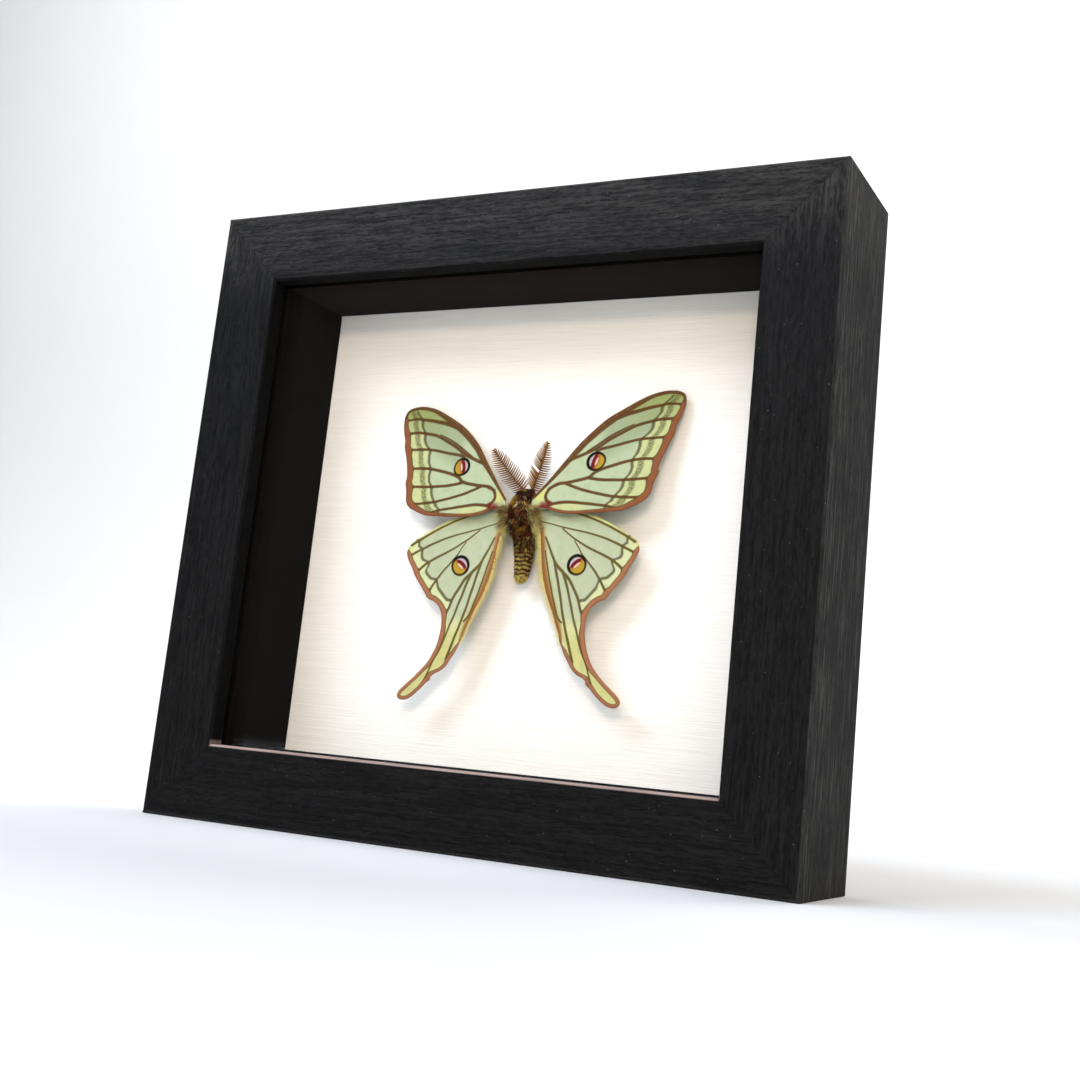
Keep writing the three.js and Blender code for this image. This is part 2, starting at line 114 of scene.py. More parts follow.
# Right hindwing.
HIND_COSTA = (
    (4, 0.6), (6.6, 1.8), (10, 2.2), (14, 1.7), (18, 0.7), (22, -0.5), (26, -2.4), (30.3, -4.8), (32.7, -6.3),
    (33.9, -7.8), (34.2, -9.3),
)
HIND_OUTER = (
    (34.2, -9.3), (33.5, -11.1), (31.9, -13.6), (30.8, -15.6), (29, -17.8), (27.3, -19.9), (25.9, -21.6),
    (24, -22.4), (22.4, -23.7), (21.4, -25.5), (21, -28), (21.1, -31), (21.8, -34), (23.3, -37.4),
    (25, -39.7), (27, -41.8), (29, -43.6), (31, -45.3), (32.1, -46.7), (32, -47.8), (30.9, -48.4),
    (29, -48.2), (27, -47), (25.2, -45.4), (23.6, -43.8), (22.6, -43), (22.5, -42.2), (21.5, -41.4),
    (19.8, -40.6), (18.2, -39.2), (17, -37.4), (15.6, -35.2), (14.6, -33),
)
HIND_INNER = (
    (14.6, -33), (13.6, -30.6), (12.2, -27.2), (10.8, -24), (9.4, -21), (8.3, -18), (7.4, -15), (6.7, -11),
    (6.1, -7), (5.6, -4.2), (4.5, -1.2), (4, 0.6),
)
HIND_VEINS = (
    (0.22, 0.34, ((14, 1.1), (18, 0), (22, -1.5), (26, -3.3), (30, -5.4), (33, -7.2))),
    (0.13, 0.34, ((5, -1.2), (9, -2.1), (12, -2.9), (16, -3.8), (20, -4.7), (24, -5.9), (28, -7.5),
                  (33, -9.9))),
    (0.18, 0.38, ((12.2, -3.3), (14, -4.7), (16, -6.1), (20, -8.4), (24, -10.2), (27.3, -11.9),
                  (30.6, -14.5))),
    (0.14, 0.36, ((16, -6.6), (17.3, -8.4), (18.4, -10.1), (20.1, -12), (22.2, -14.3), (24, -16.7),
                  (26, -20))),
    (0.24, 0.42, ((7.5, -5.4), (9.2, -8.7), (11.1, -12.3), (13.4, -14.7))),
    (0.38, 0.34, ((13.4, -14.7), (15, -16.1), (16.3, -18), (18.2, -21.2), (19.3, -24.2), (20.3, -26.4))),
    (0.36, 0.20, ((13.4, -14.7), (14.7, -17.8), (16.3, -22.5), (17.4, -26), (18.8, -30), (20.3, -34.3),
                  (22.1, -37.8), (23.6, -41.5), (24.6, -44))),
    (0.34, 0.34, ((10.8, -12.1), (11.9, -16), (13, -20), (14.3, -25), (15.5, -29), (17.1, -33.8),
                  (18.4, -37.6))),
    (0.20, 0.26, ((7.8, -9), (9.1, -14), (10.3, -18.5), (11.6, -22.5), (12.8, -25.8), (14.2, -27.6))),
)
TAIL_VEIN = HIND_VEINS[5][2]
HIND_LINE = (
    (31.6, -5.4), (30.6, -7), (29.6, -9), (28.5, -11), (27.1, -12.4), (27.3, -14), (26, -15.4), (24.4, -16.7),
    (23.1, -18.2), (21.5, -19.9), (20, -21.5), (18.8, -22.6), (17.6, -24.4),
)
HIND_EYE = ((17.1, -12.8), 2.7, -52)
HIND_EDGES = (HIND_COSTA, HIND_OUTER, HIND_INNER)

# Spacing of a wing's points along edges and veins, in and between the rows of its cells, and along markings.
EDGE_STEP, CELL_STEP, ROW_STEP, LINE_STEP = 0.36, 0.42, 0.42 * 0.866, 0.5
# Rows of points across a vein in half widths, and the space kept clear of them, of the edge and of a point.
VEIN_ROWS = (0, -1, 1, -1.75, 1.75)
ROW_CLEAR, EDGE_CLEAR, POINT_CLEAR = 0.3, 0.12, 0.11
# Measures where a marking or a vein is nowhere near.
FAR, NO_LINE = 99.0, -5.0

# A solid wing's lower side: its height off the card where u and v are 0, and its rise for each u and v.
# A wing's sheet lies half of the solid's thickness above it, and the fringe grows a little higher.
WING_HALF, FRINGE_UP = 0.17, 0.3
WING_PLANES = {"forewing": (10.16, -0.045, -0.2), "hindwing": (7.0, 0.0, -0.05)}

# The body from head to tail: v, height of its middle off the card, and radius.
BODY_RINGS = (
    (7.7, 6.2, 0.0), (7.4, 6.2, 1.3), (6.5, 6.4, 2.2), (5.1, 6.9, 2.8), (3.7, 7.2, 3.4), (1.5, 7.4, 3.8),
    (-1, 7.1, 3.6), (-3.2, 6.4, 3.05), (-5, 5.7, 2.75), (-7.5, 5, 2.6), (-10, 4.6, 2.4), (-13, 4.5, 2.1),
    (-15.2, 4.6, 1.8), (-16.3, 4.7, 1.4), (-16.9, 4.72, 0.8), (-17.1, 4.75, 0.0),
)
# Where the abdomen's segments start and how long each is, and where its rings of fur start and end.
SEGMENT_FROM, SEGMENT = -4.5, 1.85
RINGS_FROM, RINGS_TO = -3.6, -15.6
FUR_SEED, COMB_SEED = 41, 7
# Each pair of legs: where it leaves the body, and how far it sweeps.
LEGS = ((3.6, 1.4), (1.2, 0.4), (-1.2, -1.2))
EYE_AT, EYE_RADIUS = (1.5, 6.2, 5.6), 0.82
ANTENNA_BASE = (1.15, 7.3, 5.6)
ANTENNA_TIPS = {"left": (8.0, 17.3, 11.2), "right": (8.0, 18.5, 11.2)}
# The torn place of one comb: its antenna and flank, its share of the way along, and half its length.
TORN_FLANK, TORN_AT, TORN_HALF = ("right", -1), 0.44, 0.035

# The filler of a mitre: where it starts and ends from the frame's corner, and how deep it goes.
FILLER_FROM, FILLER_TO, FILLER_DEEP = 0.3, 27.3, 4.2

# Each light: where it stands, where it points, its width in metres, and its tint.
LIGHTS = {
    "key": ((-0.58, -1.04, 1.13), (0.0, 0.0, 0.09), 1.0, (0.74, 0.83, 1.0)),
    "fill": ((0.62, -1.15, 0.35), (0.0, 0.0, 0.08), 1.0, (1.0, 1.0, 0.94)),
    "lamp": ((0.5, -1.15, 0.35), (0.0, 0.0, 0.08), 0.08, (1.0, 0.68, 0.5)),
    "behind": ((0.3, 0.9, 1.2), (0.0, -0.1, 0.0), 0.8, (1.0, 1.0, 1.0)),
    "wash": ((-1.0, 0.1, 1.3), (-1.1, 1.2, 0.6), 1.3, (1.0, 1.0, 1.0)),
}
SKY_TINT = (1.0, 0.97, 0.93)

# The seamless floor in metres: half its width, its front, where it bends up, the bend's radius, its top,
# and how far it lies below the frame.
FLOOR_HALF, FLOOR_FRONT, FLOOR_BACK, FLOOR_BEND, FLOOR_TOP, FLOOR_GAP = 3.0, -2.0, 0.6, 0.6, 2.5, 0.00005

# The camera's right, up and back, how far its picture is shifted, its sensor in millimetres, and how near it
# sees in metres.
CAMERA_RIGHT = (0.898083, 0.429404, 0.095180)
CAMERA_UP = (-0.010147, -0.196117, 0.980528)
CAMERA_BACK = (0.439709, -0.881561, -0.171772)
CAMERA_SHIFT = (-0.05718, -0.02786)
CAMERA_SENSOR, CAMERA_NEAR = 36.0, 0.01


def linear(rgb):
    """A display colour of 0 to 255 as the linear one that shaders use."""
    parts = [c / 255 for c in rgb]
    return tuple(c / 12.92 if c <= 0.04045 else ((c + 0.055) / 1.055) ** 2.4 for c in parts)


def colour(name, description, rgb):
    return FloatVectorProperty(
        name=name, description=description, subtype="COLOR", size=3, min=0.0, max=1.0, default=linear(rgb)
    )


def size(name, description, millimetres):
    return FloatProperty(name=name, description=description, unit="LENGTH", min=0.0, default=millimetres * MM)


def share(name, description, value):
    return FloatProperty(
        name=name, description=description, subtype="FACTOR", min=0.0, max=1.0, default=value
    )


def power(name, description, watts):
    return FloatProperty(name=name, description=description, unit="POWER", min=0.0, default=watts)


def count(name, description, value):
    return IntProperty(name=name, description=description, min=0, default=value)


class FrameLook(bpy.types.PropertyGroup):
    """Finish of the box frame."""

    stain: colour("Stain", "Black stain on the moulding", (15, 15, 15))
    # Pale tone for rubbed edges, dust and the outer side faces; it also carries the painted sheen up high and
    # the painted edge highlights.
    pale_wear_and_sheen: colour("Scuffed", "Moulding where its edges are rubbed", (118, 117, 114))
    # Painted highlight: the top face of the bottom lip, painted pale where light from above falls on it.
    sill_highlight: colour("Sill", "Moulding where the bottom of the opening is rubbed", (146, 128, 120))
    liner: colour("Liner", "Strips behind the glass", (18, 16, 15))
    eased: size("Eased Edge", "Rounding of the moulding's long edges", 0.1)
    filler: size("Filler", "Width of the line of filler in a mitre", 0.168)
    sunk: size("Filler Depth", "How far the filler lies below the face", 0.06)
    paper: colour("Card", "Mount card behind the moth", (252, 248, 243))
    board: colour("Backing Board", "Fibreboard at the back", (128, 98, 66))
    steel: colour("Points", "Steel of the points and the pin", (165, 165, 162))
    brass: colour("Hanger", "Plating on the hanger and its nails", (196, 160, 92))
    pressed: size("Pressed Edge", "Rounding of the hanger's and nails' edges", 0.12)


class WingLook(bpy.types.PropertyGroup):
    """Colours and relief of the wings."""

    cell: colour("Cells", "Pale blue-green between the veins", (170, 180, 147))
    sage: colour("Sage", "Greyer cells in the upper half of a forewing", (147, 157, 124))
    leaf: colour("Leaf Green", "Green cells along the leading edge", (140, 147, 84))
    pale: colour("Outer Zone", "Pale yellow-green inside the border", (186, 190, 132))
    gold: colour("Yellow", "Wing roots and tails", (194, 192, 112))
    vein: colour("Veins", "Brown veins of the forewings", (92, 54, 18))
    vein_side: colour("Vein Sides", "Dark olive scales beside a vein", (56, 40, 8))
    olive: colour("Hindwing Veins", "Olive-brown veins of the hindwings", (92, 76, 30))
    border: colour("Border", "Red-brown outer border", (128, 77, 48))
    rose: colour("Hindwing Border", "Lighter border of the hindwings", (152, 99, 69))
    border_line: colour("Border Line", "Dark line along the border", (82, 60, 24))
    costa: colour("Leading Edge", "Brown leading edge", (88, 57, 28))
    costa_light: colour("Leading Edge Light", "Rubbed scales on the leading edge", (112, 78, 46))
    band: colour("Band", "Soft grey band", (76, 72, 38))
    line: colour("Fine Line", "Thin dark line inside the band", (76, 66, 34))
    ring: colour("Eyespot Ring", "Black ring of an eyespot", (17, 13, 10))
    olive_ring: colour("Eyespot Outer Ring", "Olive-brown outer side of the ring", (56, 40, 15))
    lavender: colour("Eyespot Lavender", "Inner crescent of an eyespot", (177, 161, 165))
    maroon: colour("Eyespot Maroon", "Lens of an eyespot", (102, 19, 23))
    sliver: colour("Eyespot Sliver", "Clear slit of an eyespot", (198, 167, 140))
    orange: colour("Eyespot Orange", "Orange beside the slit", (146, 84, 33))
    amber: colour("Eyespot Amber", "Outer crescent of an eyespot", (167, 134, 42))
    inner: colour("Inner Margin", "Orange-brown edge beside the body", (134, 78, 32))
    tail: colour("Tail", "Clear yellow of the tails", (190, 184, 120))
    hind_pale: colour("Hindwing Outer Zone", "Whitish yellow inside the hindwing's border", (199, 203, 154))
    hind_cell: colour("Hindwing Cells", "Pale cells of the hindwings", (171, 177, 148))
    thick: size("Thickness", "Thickness of a wing", 0.14)
    ridge: size("Vein Ridge", "Height of a vein over the wing", 0.09)
    sag: size("Cell Sag", "Depth that a cell sinks between its veins", 0.16)


class FurLook(bpy.types.PropertyGroup):
    """Fur of the body and the wing roots."""

    dark: colour("Dark", "Dark maroon-brown fur", (36, 9, 2))
    rust: colour("Rust", "Red-brown hairs", (84, 32, 12))
    tan: colour("Tan", "Tan hairs through the dark fur", (152, 102, 52))
    rose: colour("Rose", "Pinkish hairs on the thorax", (136, 84, 40))
    ochre: colour("Ochre", "Ochre tufts at the front of the abdomen", (182, 140, 62))
    straw: colour("Straw", "Yellow fur of the abdomen's rings and tip", (240, 220, 122))
    collar: colour("Collar", "Olive-yellow fur round the head", (160, 128, 26))
    grey: colour("Root Hair", "Grey-beige hair over the wing roots", (156, 132, 78))
    fringe: colour("Fringe", "Pale yellow fringe of the hindwings", (238, 222, 144))
    eye: colour("Eyes", "Dark compound eyes", (26, 16, 12))
    thorax_tufts: count("Thorax Tufts", "Tufts on the head and thorax", 260)
    abdomen_rings: count("Abdomen Rings", "Rings of dark and yellow fur on the abdomen", 11)
    ring_tufts: count("Ring Tufts", "Tufts in one row of a ring", 130)
    ring_hairs: count("Ring Hairs", "Hairs in one tuft of a ring", 4)
    tip_tufts: count("Tip Tufts", "Yellow tufts at the abdomen's tip", 160)
    thorax_streaks: count("Thorax Streaks", "Thin light tufts over the thorax", 60)
    root_tufts: count("Root Tufts", "Tufts over the wing roots on one side", 60)
    root_locks: count("Root Locks", "Soft tufts over the wing roots on one side", 95)
    tuft_hairs: count("Tuft Hairs", "Hairs in one tuft of the thorax", 22)
    streak_hairs: count("Streak Hairs", "Hairs in one thin light tuft", 5)
    root_hairs: count("Root Hairs", "Hairs in one tuft over the wing roots", 18)
    lock_hairs: count("Lock Hairs", "Hairs in one soft tuft over the wing roots", 12)
    fringe_hairs: count("Fringe Hairs", "Hairs along one hindwing", 900)
    hair: size("Hair", "Radius of a hair at its root", 0.055)


class AntennaLook(bpy.types.PropertyGroup):
    """The two feathered antennae."""

    comb: colour("Comb", "Taupe teeth", (116, 74, 14))
    shaft: colour("Shaft", "Brown shaft", (80, 52, 28))
    teeth: count("Teeth", "Teeth down one side of an antenna", 22)
    tooth: size("Tooth", "Radius of a tooth at its root", 0.28)
    longest: size("Longest Tooth", "Length of the longest tooth", 3.3)
    bristles: count("Bristles", "Fine bristles on one tooth", 7)
    bristle: size("Bristle", "Length of a bristle", 0.28)
    bristle_thin: size("Bristle Radius", "Radius of a bristle at its root", 0.035)


class StageLook(bpy.types.PropertyGroup):
    """Floor, lights and camera."""

    floor: colour("Floor", "Pale seamless floor and backdrop", (210, 210, 209))
    key: power("Key Light", "Large soft light from the upper left", 31.0)
    fill: power("Fill Light", "Soft light from the camera's side", 13.0)
    lamp: power("Lamp", "Small warm lamp beside the camera", 4.1)
    behind: power("Light Behind", "Light on the floor from behind", 13.0)
    wash: power("Backdrop Light", "Light on the left of the backdrop", 21.0)
    sky: share("Room Light", "Even light from all round", 0.12)
    lens: FloatProperty(name="Lens", description="Focal length", unit="CAMERA", default=46.707)
    place: FloatVectorProperty(
        name="Camera", description="Where the camera stands", subtype="TRANSLATION", unit="LENGTH", size=3,
        default=(0.17978, -0.30575, 0.02623),
    )


class Value:
    """One socket of a material, on which Python's operators add Math nodes."""

    def __init__(self, finish, socket):
        self.finish = finish
        self.socket = socket

    def math(self, operation, *others):
        return self.finish.node("ShaderNodeMath", {"operation": operation}, dict(enumerate((self, *others))))

    def __add__(self, other):
        return self.math("ADD", other)

    def __sub__(self, other):
        return self.math("SUBTRACT", other)

    def __rsub__(self, other):
        return self.finish.node("ShaderNodeMath", {"operation": "SUBTRACT"}, {0: other, 1: self})

    def __mul__(self, other):
        return self.math("MULTIPLY", other)

    def __truediv__(self, other):
        return self.math("DIVIDE", other)

    def __pow__(self, other):
        return self.math("POWER", other)

    def __abs__(self):
        return self.math("ABSOLUTE")

    __radd__ = __add__
    __rmul__ = __mul__

    def most(self, other):
        return self.math("MAXIMUM", other)

    def step(self, low, high):
        """0 at low and 1 at high, eased; low may be the larger."""
        settings = {"interpolation_type": "SMOOTHSTEP"}
        return self.finish.node("ShaderNodeMapRange", settings, {0: self, 1: low, 2: high, 3: 0.0, 4: 1.0})


class Finish:
    """A node material: one Principled shader, and the nodes that feed it."""

    def __init__(self, name, **constants):
        self.material = bpy.data.materials.new(name)
        self.material.use_nodes = True
        self.tree = self.material.node_tree
        self.tree.nodes.clear()
        self.output = self.tree.nodes.new("ShaderNodeOutputMaterial")
        self.shader = self.tree.nodes.new("ShaderNodeBsdfPrincipled")
        self.tree.links.new(self.shader.outputs[0], self.output.inputs[0])
        for key, value in constants.items():
            self.put(key.replace("_", " ").title().replace("Ior", "IOR"), value)

    def put(self, socket, value):
        self._feed(self.shader.inputs[socket], value)

    def _feed(self, socket, value):
        if isinstance(value, Value):
            self.tree.links.new(value.socket, socket)
        elif socket.type == "RGBA" and len(value) == 3:
            socket.default_value = (*value, 1.0)
        else:
            socket.default_value = value

    def node(self, kind, settings=None, inputs=None, output=0):
        made = self.tree.nodes.new(kind)
        for key, value in (settings or {}).items():
            setattr(made, key, value)
        for key, value in (inputs or {}).items():
            self._feed(made.inputs[key], value)
        return Value(self, made.outputs[output])

    def mix(self, first, second, factor):
        return self.node("ShaderNodeMix", {"data_type": "RGBA"}, {0: factor, 6: first, 7: second}, 2)

    def place(self):
        """The point on the piece in millimetres of the row frame."""
        metres = self.node("ShaderNodeTexCoord", output="Object")
        return self.stretch(metres, (1 / MM,) * 3)

    def stretch(self, vector, by):
        return self.node("ShaderNodeVectorMath", {"operation": "MULTIPLY"}, {0: vector, 1: by})

    def axes(self, vector):
        return [self.node("ShaderNodeSeparateXYZ", None, {0: vector}, k) for k in range(3)]

    def noise(self, vector, scale=1.0, detail=2.0, rough=0.5):
        inputs = {"Vector": vector, "Scale": scale, "Detail": detail, "Roughness": rough}
        return self.node("ShaderNodeTexNoise", None, inputs)

    def attribute(self, name, output="Fac"):
        return self.node("ShaderNodeAttribute", {"attribute_name": name}, None, output)

    def bump(self, height, distance):
        self.put("Normal", self.node("ShaderNodeBump", None, {"Height": height, "Distance": distance}))


def give(node, finish):
    """Puts a finish on a CAD node that stays as it is."""
    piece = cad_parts[node]
    piece.data.materials.clear()
    piece.data.materials.append(finish.material)
    return piece


def times(tint, by):
    return [by * part for part in tint]


def ease_edges(piece, width, segments, angle):
    bevel = piece.modifiers.new("eased", "BEVEL")
    bevel.width = width
    bevel.segments = segments
    bevel.limit_method = "ANGLE"
    bevel.angle_limit = math.radians(angle)


def stained_wood(look, name, along):
    """Black stained wood with its grain along X or Z; painted highlights on the sill and the rubbed edges,
    painted sheen up high, painted shade on the opening's inner faces.
    """
    finish = Finish(name, specular_ior_level=0.05)
    place = finish.place()
    x, y, z = finish.axes(place)
    way = (0.05, 1.0, 1.0) if along == "X" else (1.0, 1.0, 0.05)
    streaks = finish.noise(finish.stretch(place, way), 1.3, 4.0, 0.6)
    broad = finish.noise(finish.stretch(place, way), 0.16, 2.0)
    grit = finish.noise(finish.stretch(place, tuple(w**0.4 for w in way)), 1.8, 3.0, 0.7)
    pores = finish.noise(finish.stretch(place, tuple(w**0.6 for w in way)), 1.9, 1.0).step(0.56, 0.68)
    dust = finish.noise(place, 1.9, 0.0).step(0.845, 0.87)
    rub = finish.noise(place, 0.35, 3.0)
    # The outer front edges are painted paler: partly real rubbing, partly a painted highlight along the edge.
    reach = (abs(x) - FRAME_HALF).most((z - FRAME_TOP).most(0 - z)) - (y - FRAME_FRONT)
    rubbed_and_lit_edge = reach.step(-0.8, -0.3) * (0.4 + 0.6 * rub.step(0.3, 0.75))
    nx, _, nz = finish.axes(finish.node("ShaderNodeNewGeometry", output="Normal"))
    side = (nx * x / FRAME_HALF).step(0.6, 0.9)
    middle = FRAME_TOP / 2
    # Painted shade: the inner faces of the opening are painted near black where the light does not reach
    # them.
    painted_lip_shade = (0 - nx * x / OPENING_HALF).most(nz * (middle - z) / (middle - SILL)).step(0.5, 0.9)
    # Painted highlight along the sill of the opening, standing in for light from above on the bottom lip.
    sill_highlight = z.step(SILL - 0.7, SILL - 0.35) * z.step(SILL + 1.5, SILL + 0.5)
    sill_highlight = sill_highlight * abs(x).step(OPENING_HALF + 0.5, OPENING_HALF - 0.5) * (0.65 + 0.35 * streaks.step(0.3, 0.6))
    tone = streaks * 0.55 + grit * 0.45
    ground = finish.mix(times(look.stain, 0.45), times(look.stain, 1.75), tone.step(0.34, 0.66))
    brushed = finish.noise(finish.stretch(place, (1.0, 1.0, 0.06)), 1.0, 5.0, 0.75).step(0.45, 0.72)
    forward = y.step(FRAME_FRONT + 13.5, FRAME_FRONT + 4.5)
    ground = finish.mix(ground, look.pale_wear_and_sheen, side * (0.035 + (0.3 + 0.2 * forward) * brushed))
    # Painted sheen: the upper part of the frame is painted paler, standing in for light glancing off the top
    # rail.
    high = z.step(FRAME_TOP - 27, FRAME_TOP - 5)
    ground = finish.mix(ground, look.pale_wear_and_sheen, high * (0.03 + 0.1 * tone.step(0.4, 0.65)))
    ground = finish.mix(ground, times(look.stain, 0.3), pores * 0.55)
    ground = finish.mix(ground, look.pale_wear_and_sheen, rubbed_and_lit_edge * 0.16 + dust * 0.45)
    ground = finish.mix(ground, times(look.stain, 0.2), painted_lip_shade * 0.85)
    ground = finish.mix(ground, look.sill_highlight, sill_highlight)
    finish.put("Base Color", ground)
    finish.put("Roughness", 0.42 + 0.16 * streaks + 0.08 * broad + 0.14 * side + 0.3 * painted_lip_shade)
    finish.bump(streaks * 0.35 + grit * 0.3 - pores * 0.7 + rub * 0.1, 0.09 * MM)
    return finish


def liner_finish(look):
    """Black fibre strip, a little hairy in the light, with painted light on its downward faces."""
    finish = Finish("liner_black", specular_ior_level=0.0)
    place = finish.place()
    fibre = finish.noise(finish.stretch(place, (0.5, 1.0, 1.0)), 2.6, 3.0, 0.65)
    ground = finish.mix(times(look.liner, 0.7), times(look.liner, 1.6), fibre)
    # Painted light: faces that look down are painted lighter, as if lit from the card below.
    down = 0 - finish.axes(finish.node("ShaderNodeNewGeometry", output="Normal"))[2]
    finish.put("Base Color", finish.mix(ground, times(look.liner, 3.4), down.step(0.5, 0.9) * 0.8))
    finish.put("Roughness", 0.62 + 0.25 * fibre)
    finish.bump(fibre, 0.05 * MM)
    return finish


def clear_glass():
    """Thin clear pane: light goes straight through, and its gloss grows at a glancing angle."""
    finish = Finish("clear_glass")
    finish.tree.nodes.remove(finish.shader)
    through = finish.node("ShaderNodeBsdfTransparent", None, {"Color": (0.985, 0.992, 0.988, 1.0)})
    gloss = finish.node("ShaderNodeBsdfGlossy", None, {"Color": (1, 1, 1, 1), "Roughness": 0.02})
    glancing = finish.node("ShaderNodeFresnel", None, {"IOR": 1.2})
    mixed = finish.node("ShaderNodeMixShader", None, {0: glancing, 1: through, 2: gloss})
    finish.tree.links.new(mixed.socket, finish.output.inputs[0])
    return finish


def linen_card(look):
    """Warm white card, pressed with fine uneven ribs that run level."""
    finish = Finish("linen_card", specular_ior_level=0.2)
    place = finish.place()
    ribs = finish.noise(finish.stretch(place, (0.02, 0.2, 1.0)), 2.6, 3.0, 0.65)
    threads = finish.noise(finish.stretch(place, (0.06, 0.2, 1.0)), 4.6, 2.0, 0.5)
    mottle = finish.noise(place, 0.05, 2.0)
    tone = ribs.step(0.3, 0.7) * 0.65 + threads * 0.35
    shade = [c * k for c, k in zip(look.paper, (0.89, 0.875, 0.862))]
    ground = finish.mix(shade, look.paper, tone * 0.8 + mottle * 0.3)
    finish.put("Base Color", ground)
    finish.put("Roughness", 0.82 + 0.12 * threads)
    finish.bump(ribs * 0.8 + threads * 0.25, 0.16 * MM)
    return finish


def fibreboard(look):
    """Raw brown board with pressed fibres."""
    finish = Finish("fibreboard", specular_ior_level=0.2)
    place = finish.place()
    fibres = finish.noise(place, 1.4, 5.0, 0.7)
    mottle = finish.noise(place, 0.07, 3.0)
    flecks = finish.noise(finish.stretch(place, (1.0, 1.0, 0.25)), 1.1, 2.0).step(0.62, 0.7)
    ground = finish.mix(times(look.board, 0.62), times(look.board, 1.2), fibres * 0.7 + mottle * 0.3)
    ground = finish.mix(ground, times(look.board, 0.4), flecks * 0.6)
    finish.put("Base Color", ground)
    finish.put("Roughness", 0.75 + 0.2 * fibres)
    finish.bump(fibres, 0.1 * MM)
    return finish


def worn_metal(name, tint, rough):
    """Plated metal with fine rolling marks and dull patches."""
    finish = Finish(name, metallic=1.0)
    place = finish.place()
    marks = finish.noise(finish.stretch(place, (0.15, 1.0, 2.0)), 4.0, 2.0)
    dull = finish.noise(place, 0.5, 4.0).step(0.45, 0.75)
    ground = finish.mix(times(tint, 0.75), tint, marks)
    finish.put("Base Color", finish.mix(ground, times(tint, 0.5), dull * 0.6))
    finish.put("Roughness", rough + 0.12 * marks + 0.25 * dull)
    finish.bump(marks, 0.01 * MM)
    return finish


def wing_finish(look):
    """Scaled wing. Its markings are read from measures kept on the wing's points."""
    finish = Finish("wing_scales", specular_ior_level=0.08, sheen_weight=0.04, sheen_roughness=0.5)
    place = finish.attribute("place", "Vector")
    dust = finish.noise(place, 5.5, 2.0, 0.6)
    cloud = finish.noise(place, 0.45, 3.0)
    combed = finish.noise(finish.stretch(place, (1.0, 0.12, 1.0)), 4.0, 2.0, 0.6)
    ragged = (dust - 0.5) * 0.5 + (finish.noise(place, 2.2, 2.0) - 0.5) * 0.45
    hind = finish.attribute("hind")
    vein = finish.attribute("vein") + ragged * 0.6
    hem = finish.attribute("hem") + ragged * 0.12
    rim = finish.attribute("rim") + ragged * 0.12
    line = finish.attribute("line") + ragged * 0.16
    band = abs(finish.attribute("band") + ragged * 0.7)
    zone = finish.attribute("zone")
    ground = finish.mix(finish.mix(look.cell, look.hind_cell, hind), look.sage, finish.attribute("shade"))
    ground = finish.mix(ground, finish.mix(look.pale, look.hind_pale, hind), zone * 0.9)
    ground = finish.mix(ground, look.leaf, finish.attribute("wash"))
    ground = finish.mix(ground, look.gold, finish.attribute("gold"))
    ground = finish.mix(ground, look.tail, finish.attribute("tail"))
    ground = finish.mix(ground, look.sage, cloud.step(0.45, 0.75) * 0.35 + combed.step(0.5, 0.75) * 0.3)
    specks = finish.noise(place, 2.7, 2.0, 0.7).step(0.38, 0.6)
    ground = finish.mix(ground, look.band, band.step(1.15, 0.4) * (0.3 + 0.6 * specks))
    ground = finish.mix(ground, look.line, line.step(0.6, 0.25) * line.step(-0.55, -0.2) * 0.85)
    ground = finish.mix(ground, look.inner, finish.attribute("inner").step(1.3, 0.35) * 0.95)
    side = finish.mix(look.vein_side, look.olive, hind * 0.6)
    ground = finish.mix(ground, side, vein.step(1.35, 0.85) * 0.85)
    ground = finish.mix(ground, finish.mix(look.vein, look.olive, hind), vein.step(0.85, 0.4) * 0.9)
    ground = finish.mix(ground, look.border_line, hem.step(1.06, 0.94) * 0.9)
    ground = finish.mix(ground, finish.mix(look.border, look.rose, hind), hem.step(0.88, 0.7))
    rubbed = finish.noise(place, 0.9, 3.0).step(0.35, 0.65) * rim.step(0.8, 0.1)
    costa = finish.mix(look.costa, look.costa_light, rubbed)
    ground = finish.mix(ground, look.border_line, rim.step(1.1, 0.96) * 0.9)
    ground = finish.mix(ground, costa, rim.step(0.95, 0.75))
    ground = finish.mix(ground, look.maroon, finish.attribute("blush") * 0.9)
    p, q, reach = finish.axes(finish.attribute("eye", "Vector"))
    spot = finish.mix(look.orange, look.amber, (p + abs(q) * 0.2 + hind * 0.12).step(0.12, 0.5))
    spot = finish.mix(look.lavender, spot, p.step(-0.3, -0.2))
    lens = ((p + 0.2) / 0.25) ** 2 + (q / (0.86 - 0.2 * hind)) ** 2
    spot = finish.mix(spot, look.maroon, lens.step(1.12, 0.8))
    sliver = ((p - 0.04) / 0.13) ** 2 + (q / 0.46) ** 2
    spot = finish.mix(spot, look.sliver, sliver.step(1.15, 0.6))
    ring = finish.mix(look.ring, look.olive_ring, p.step(-0.2, 0.6))
    ground = finish.mix(ground, ring, reach.step(1.08, 1.0))
    ground = finish.mix(ground, spot, (reach - p * 0.07).step(0.8, 0.72))
    ground = finish.mix(ground, finish.mix(ground, (0.0, 0.0, 0.0), 0.5), dust.step(0.55, 0.8) * 0.25)
    finish.put("Base Color", ground)
    finish.put("Roughness", 0.72 + 0.2 * dust)
    finish.bump(dust * 0.6 + finish.noise(place, 9.0, 1.0) * 0.4, 0.03 * MM)
    return finish


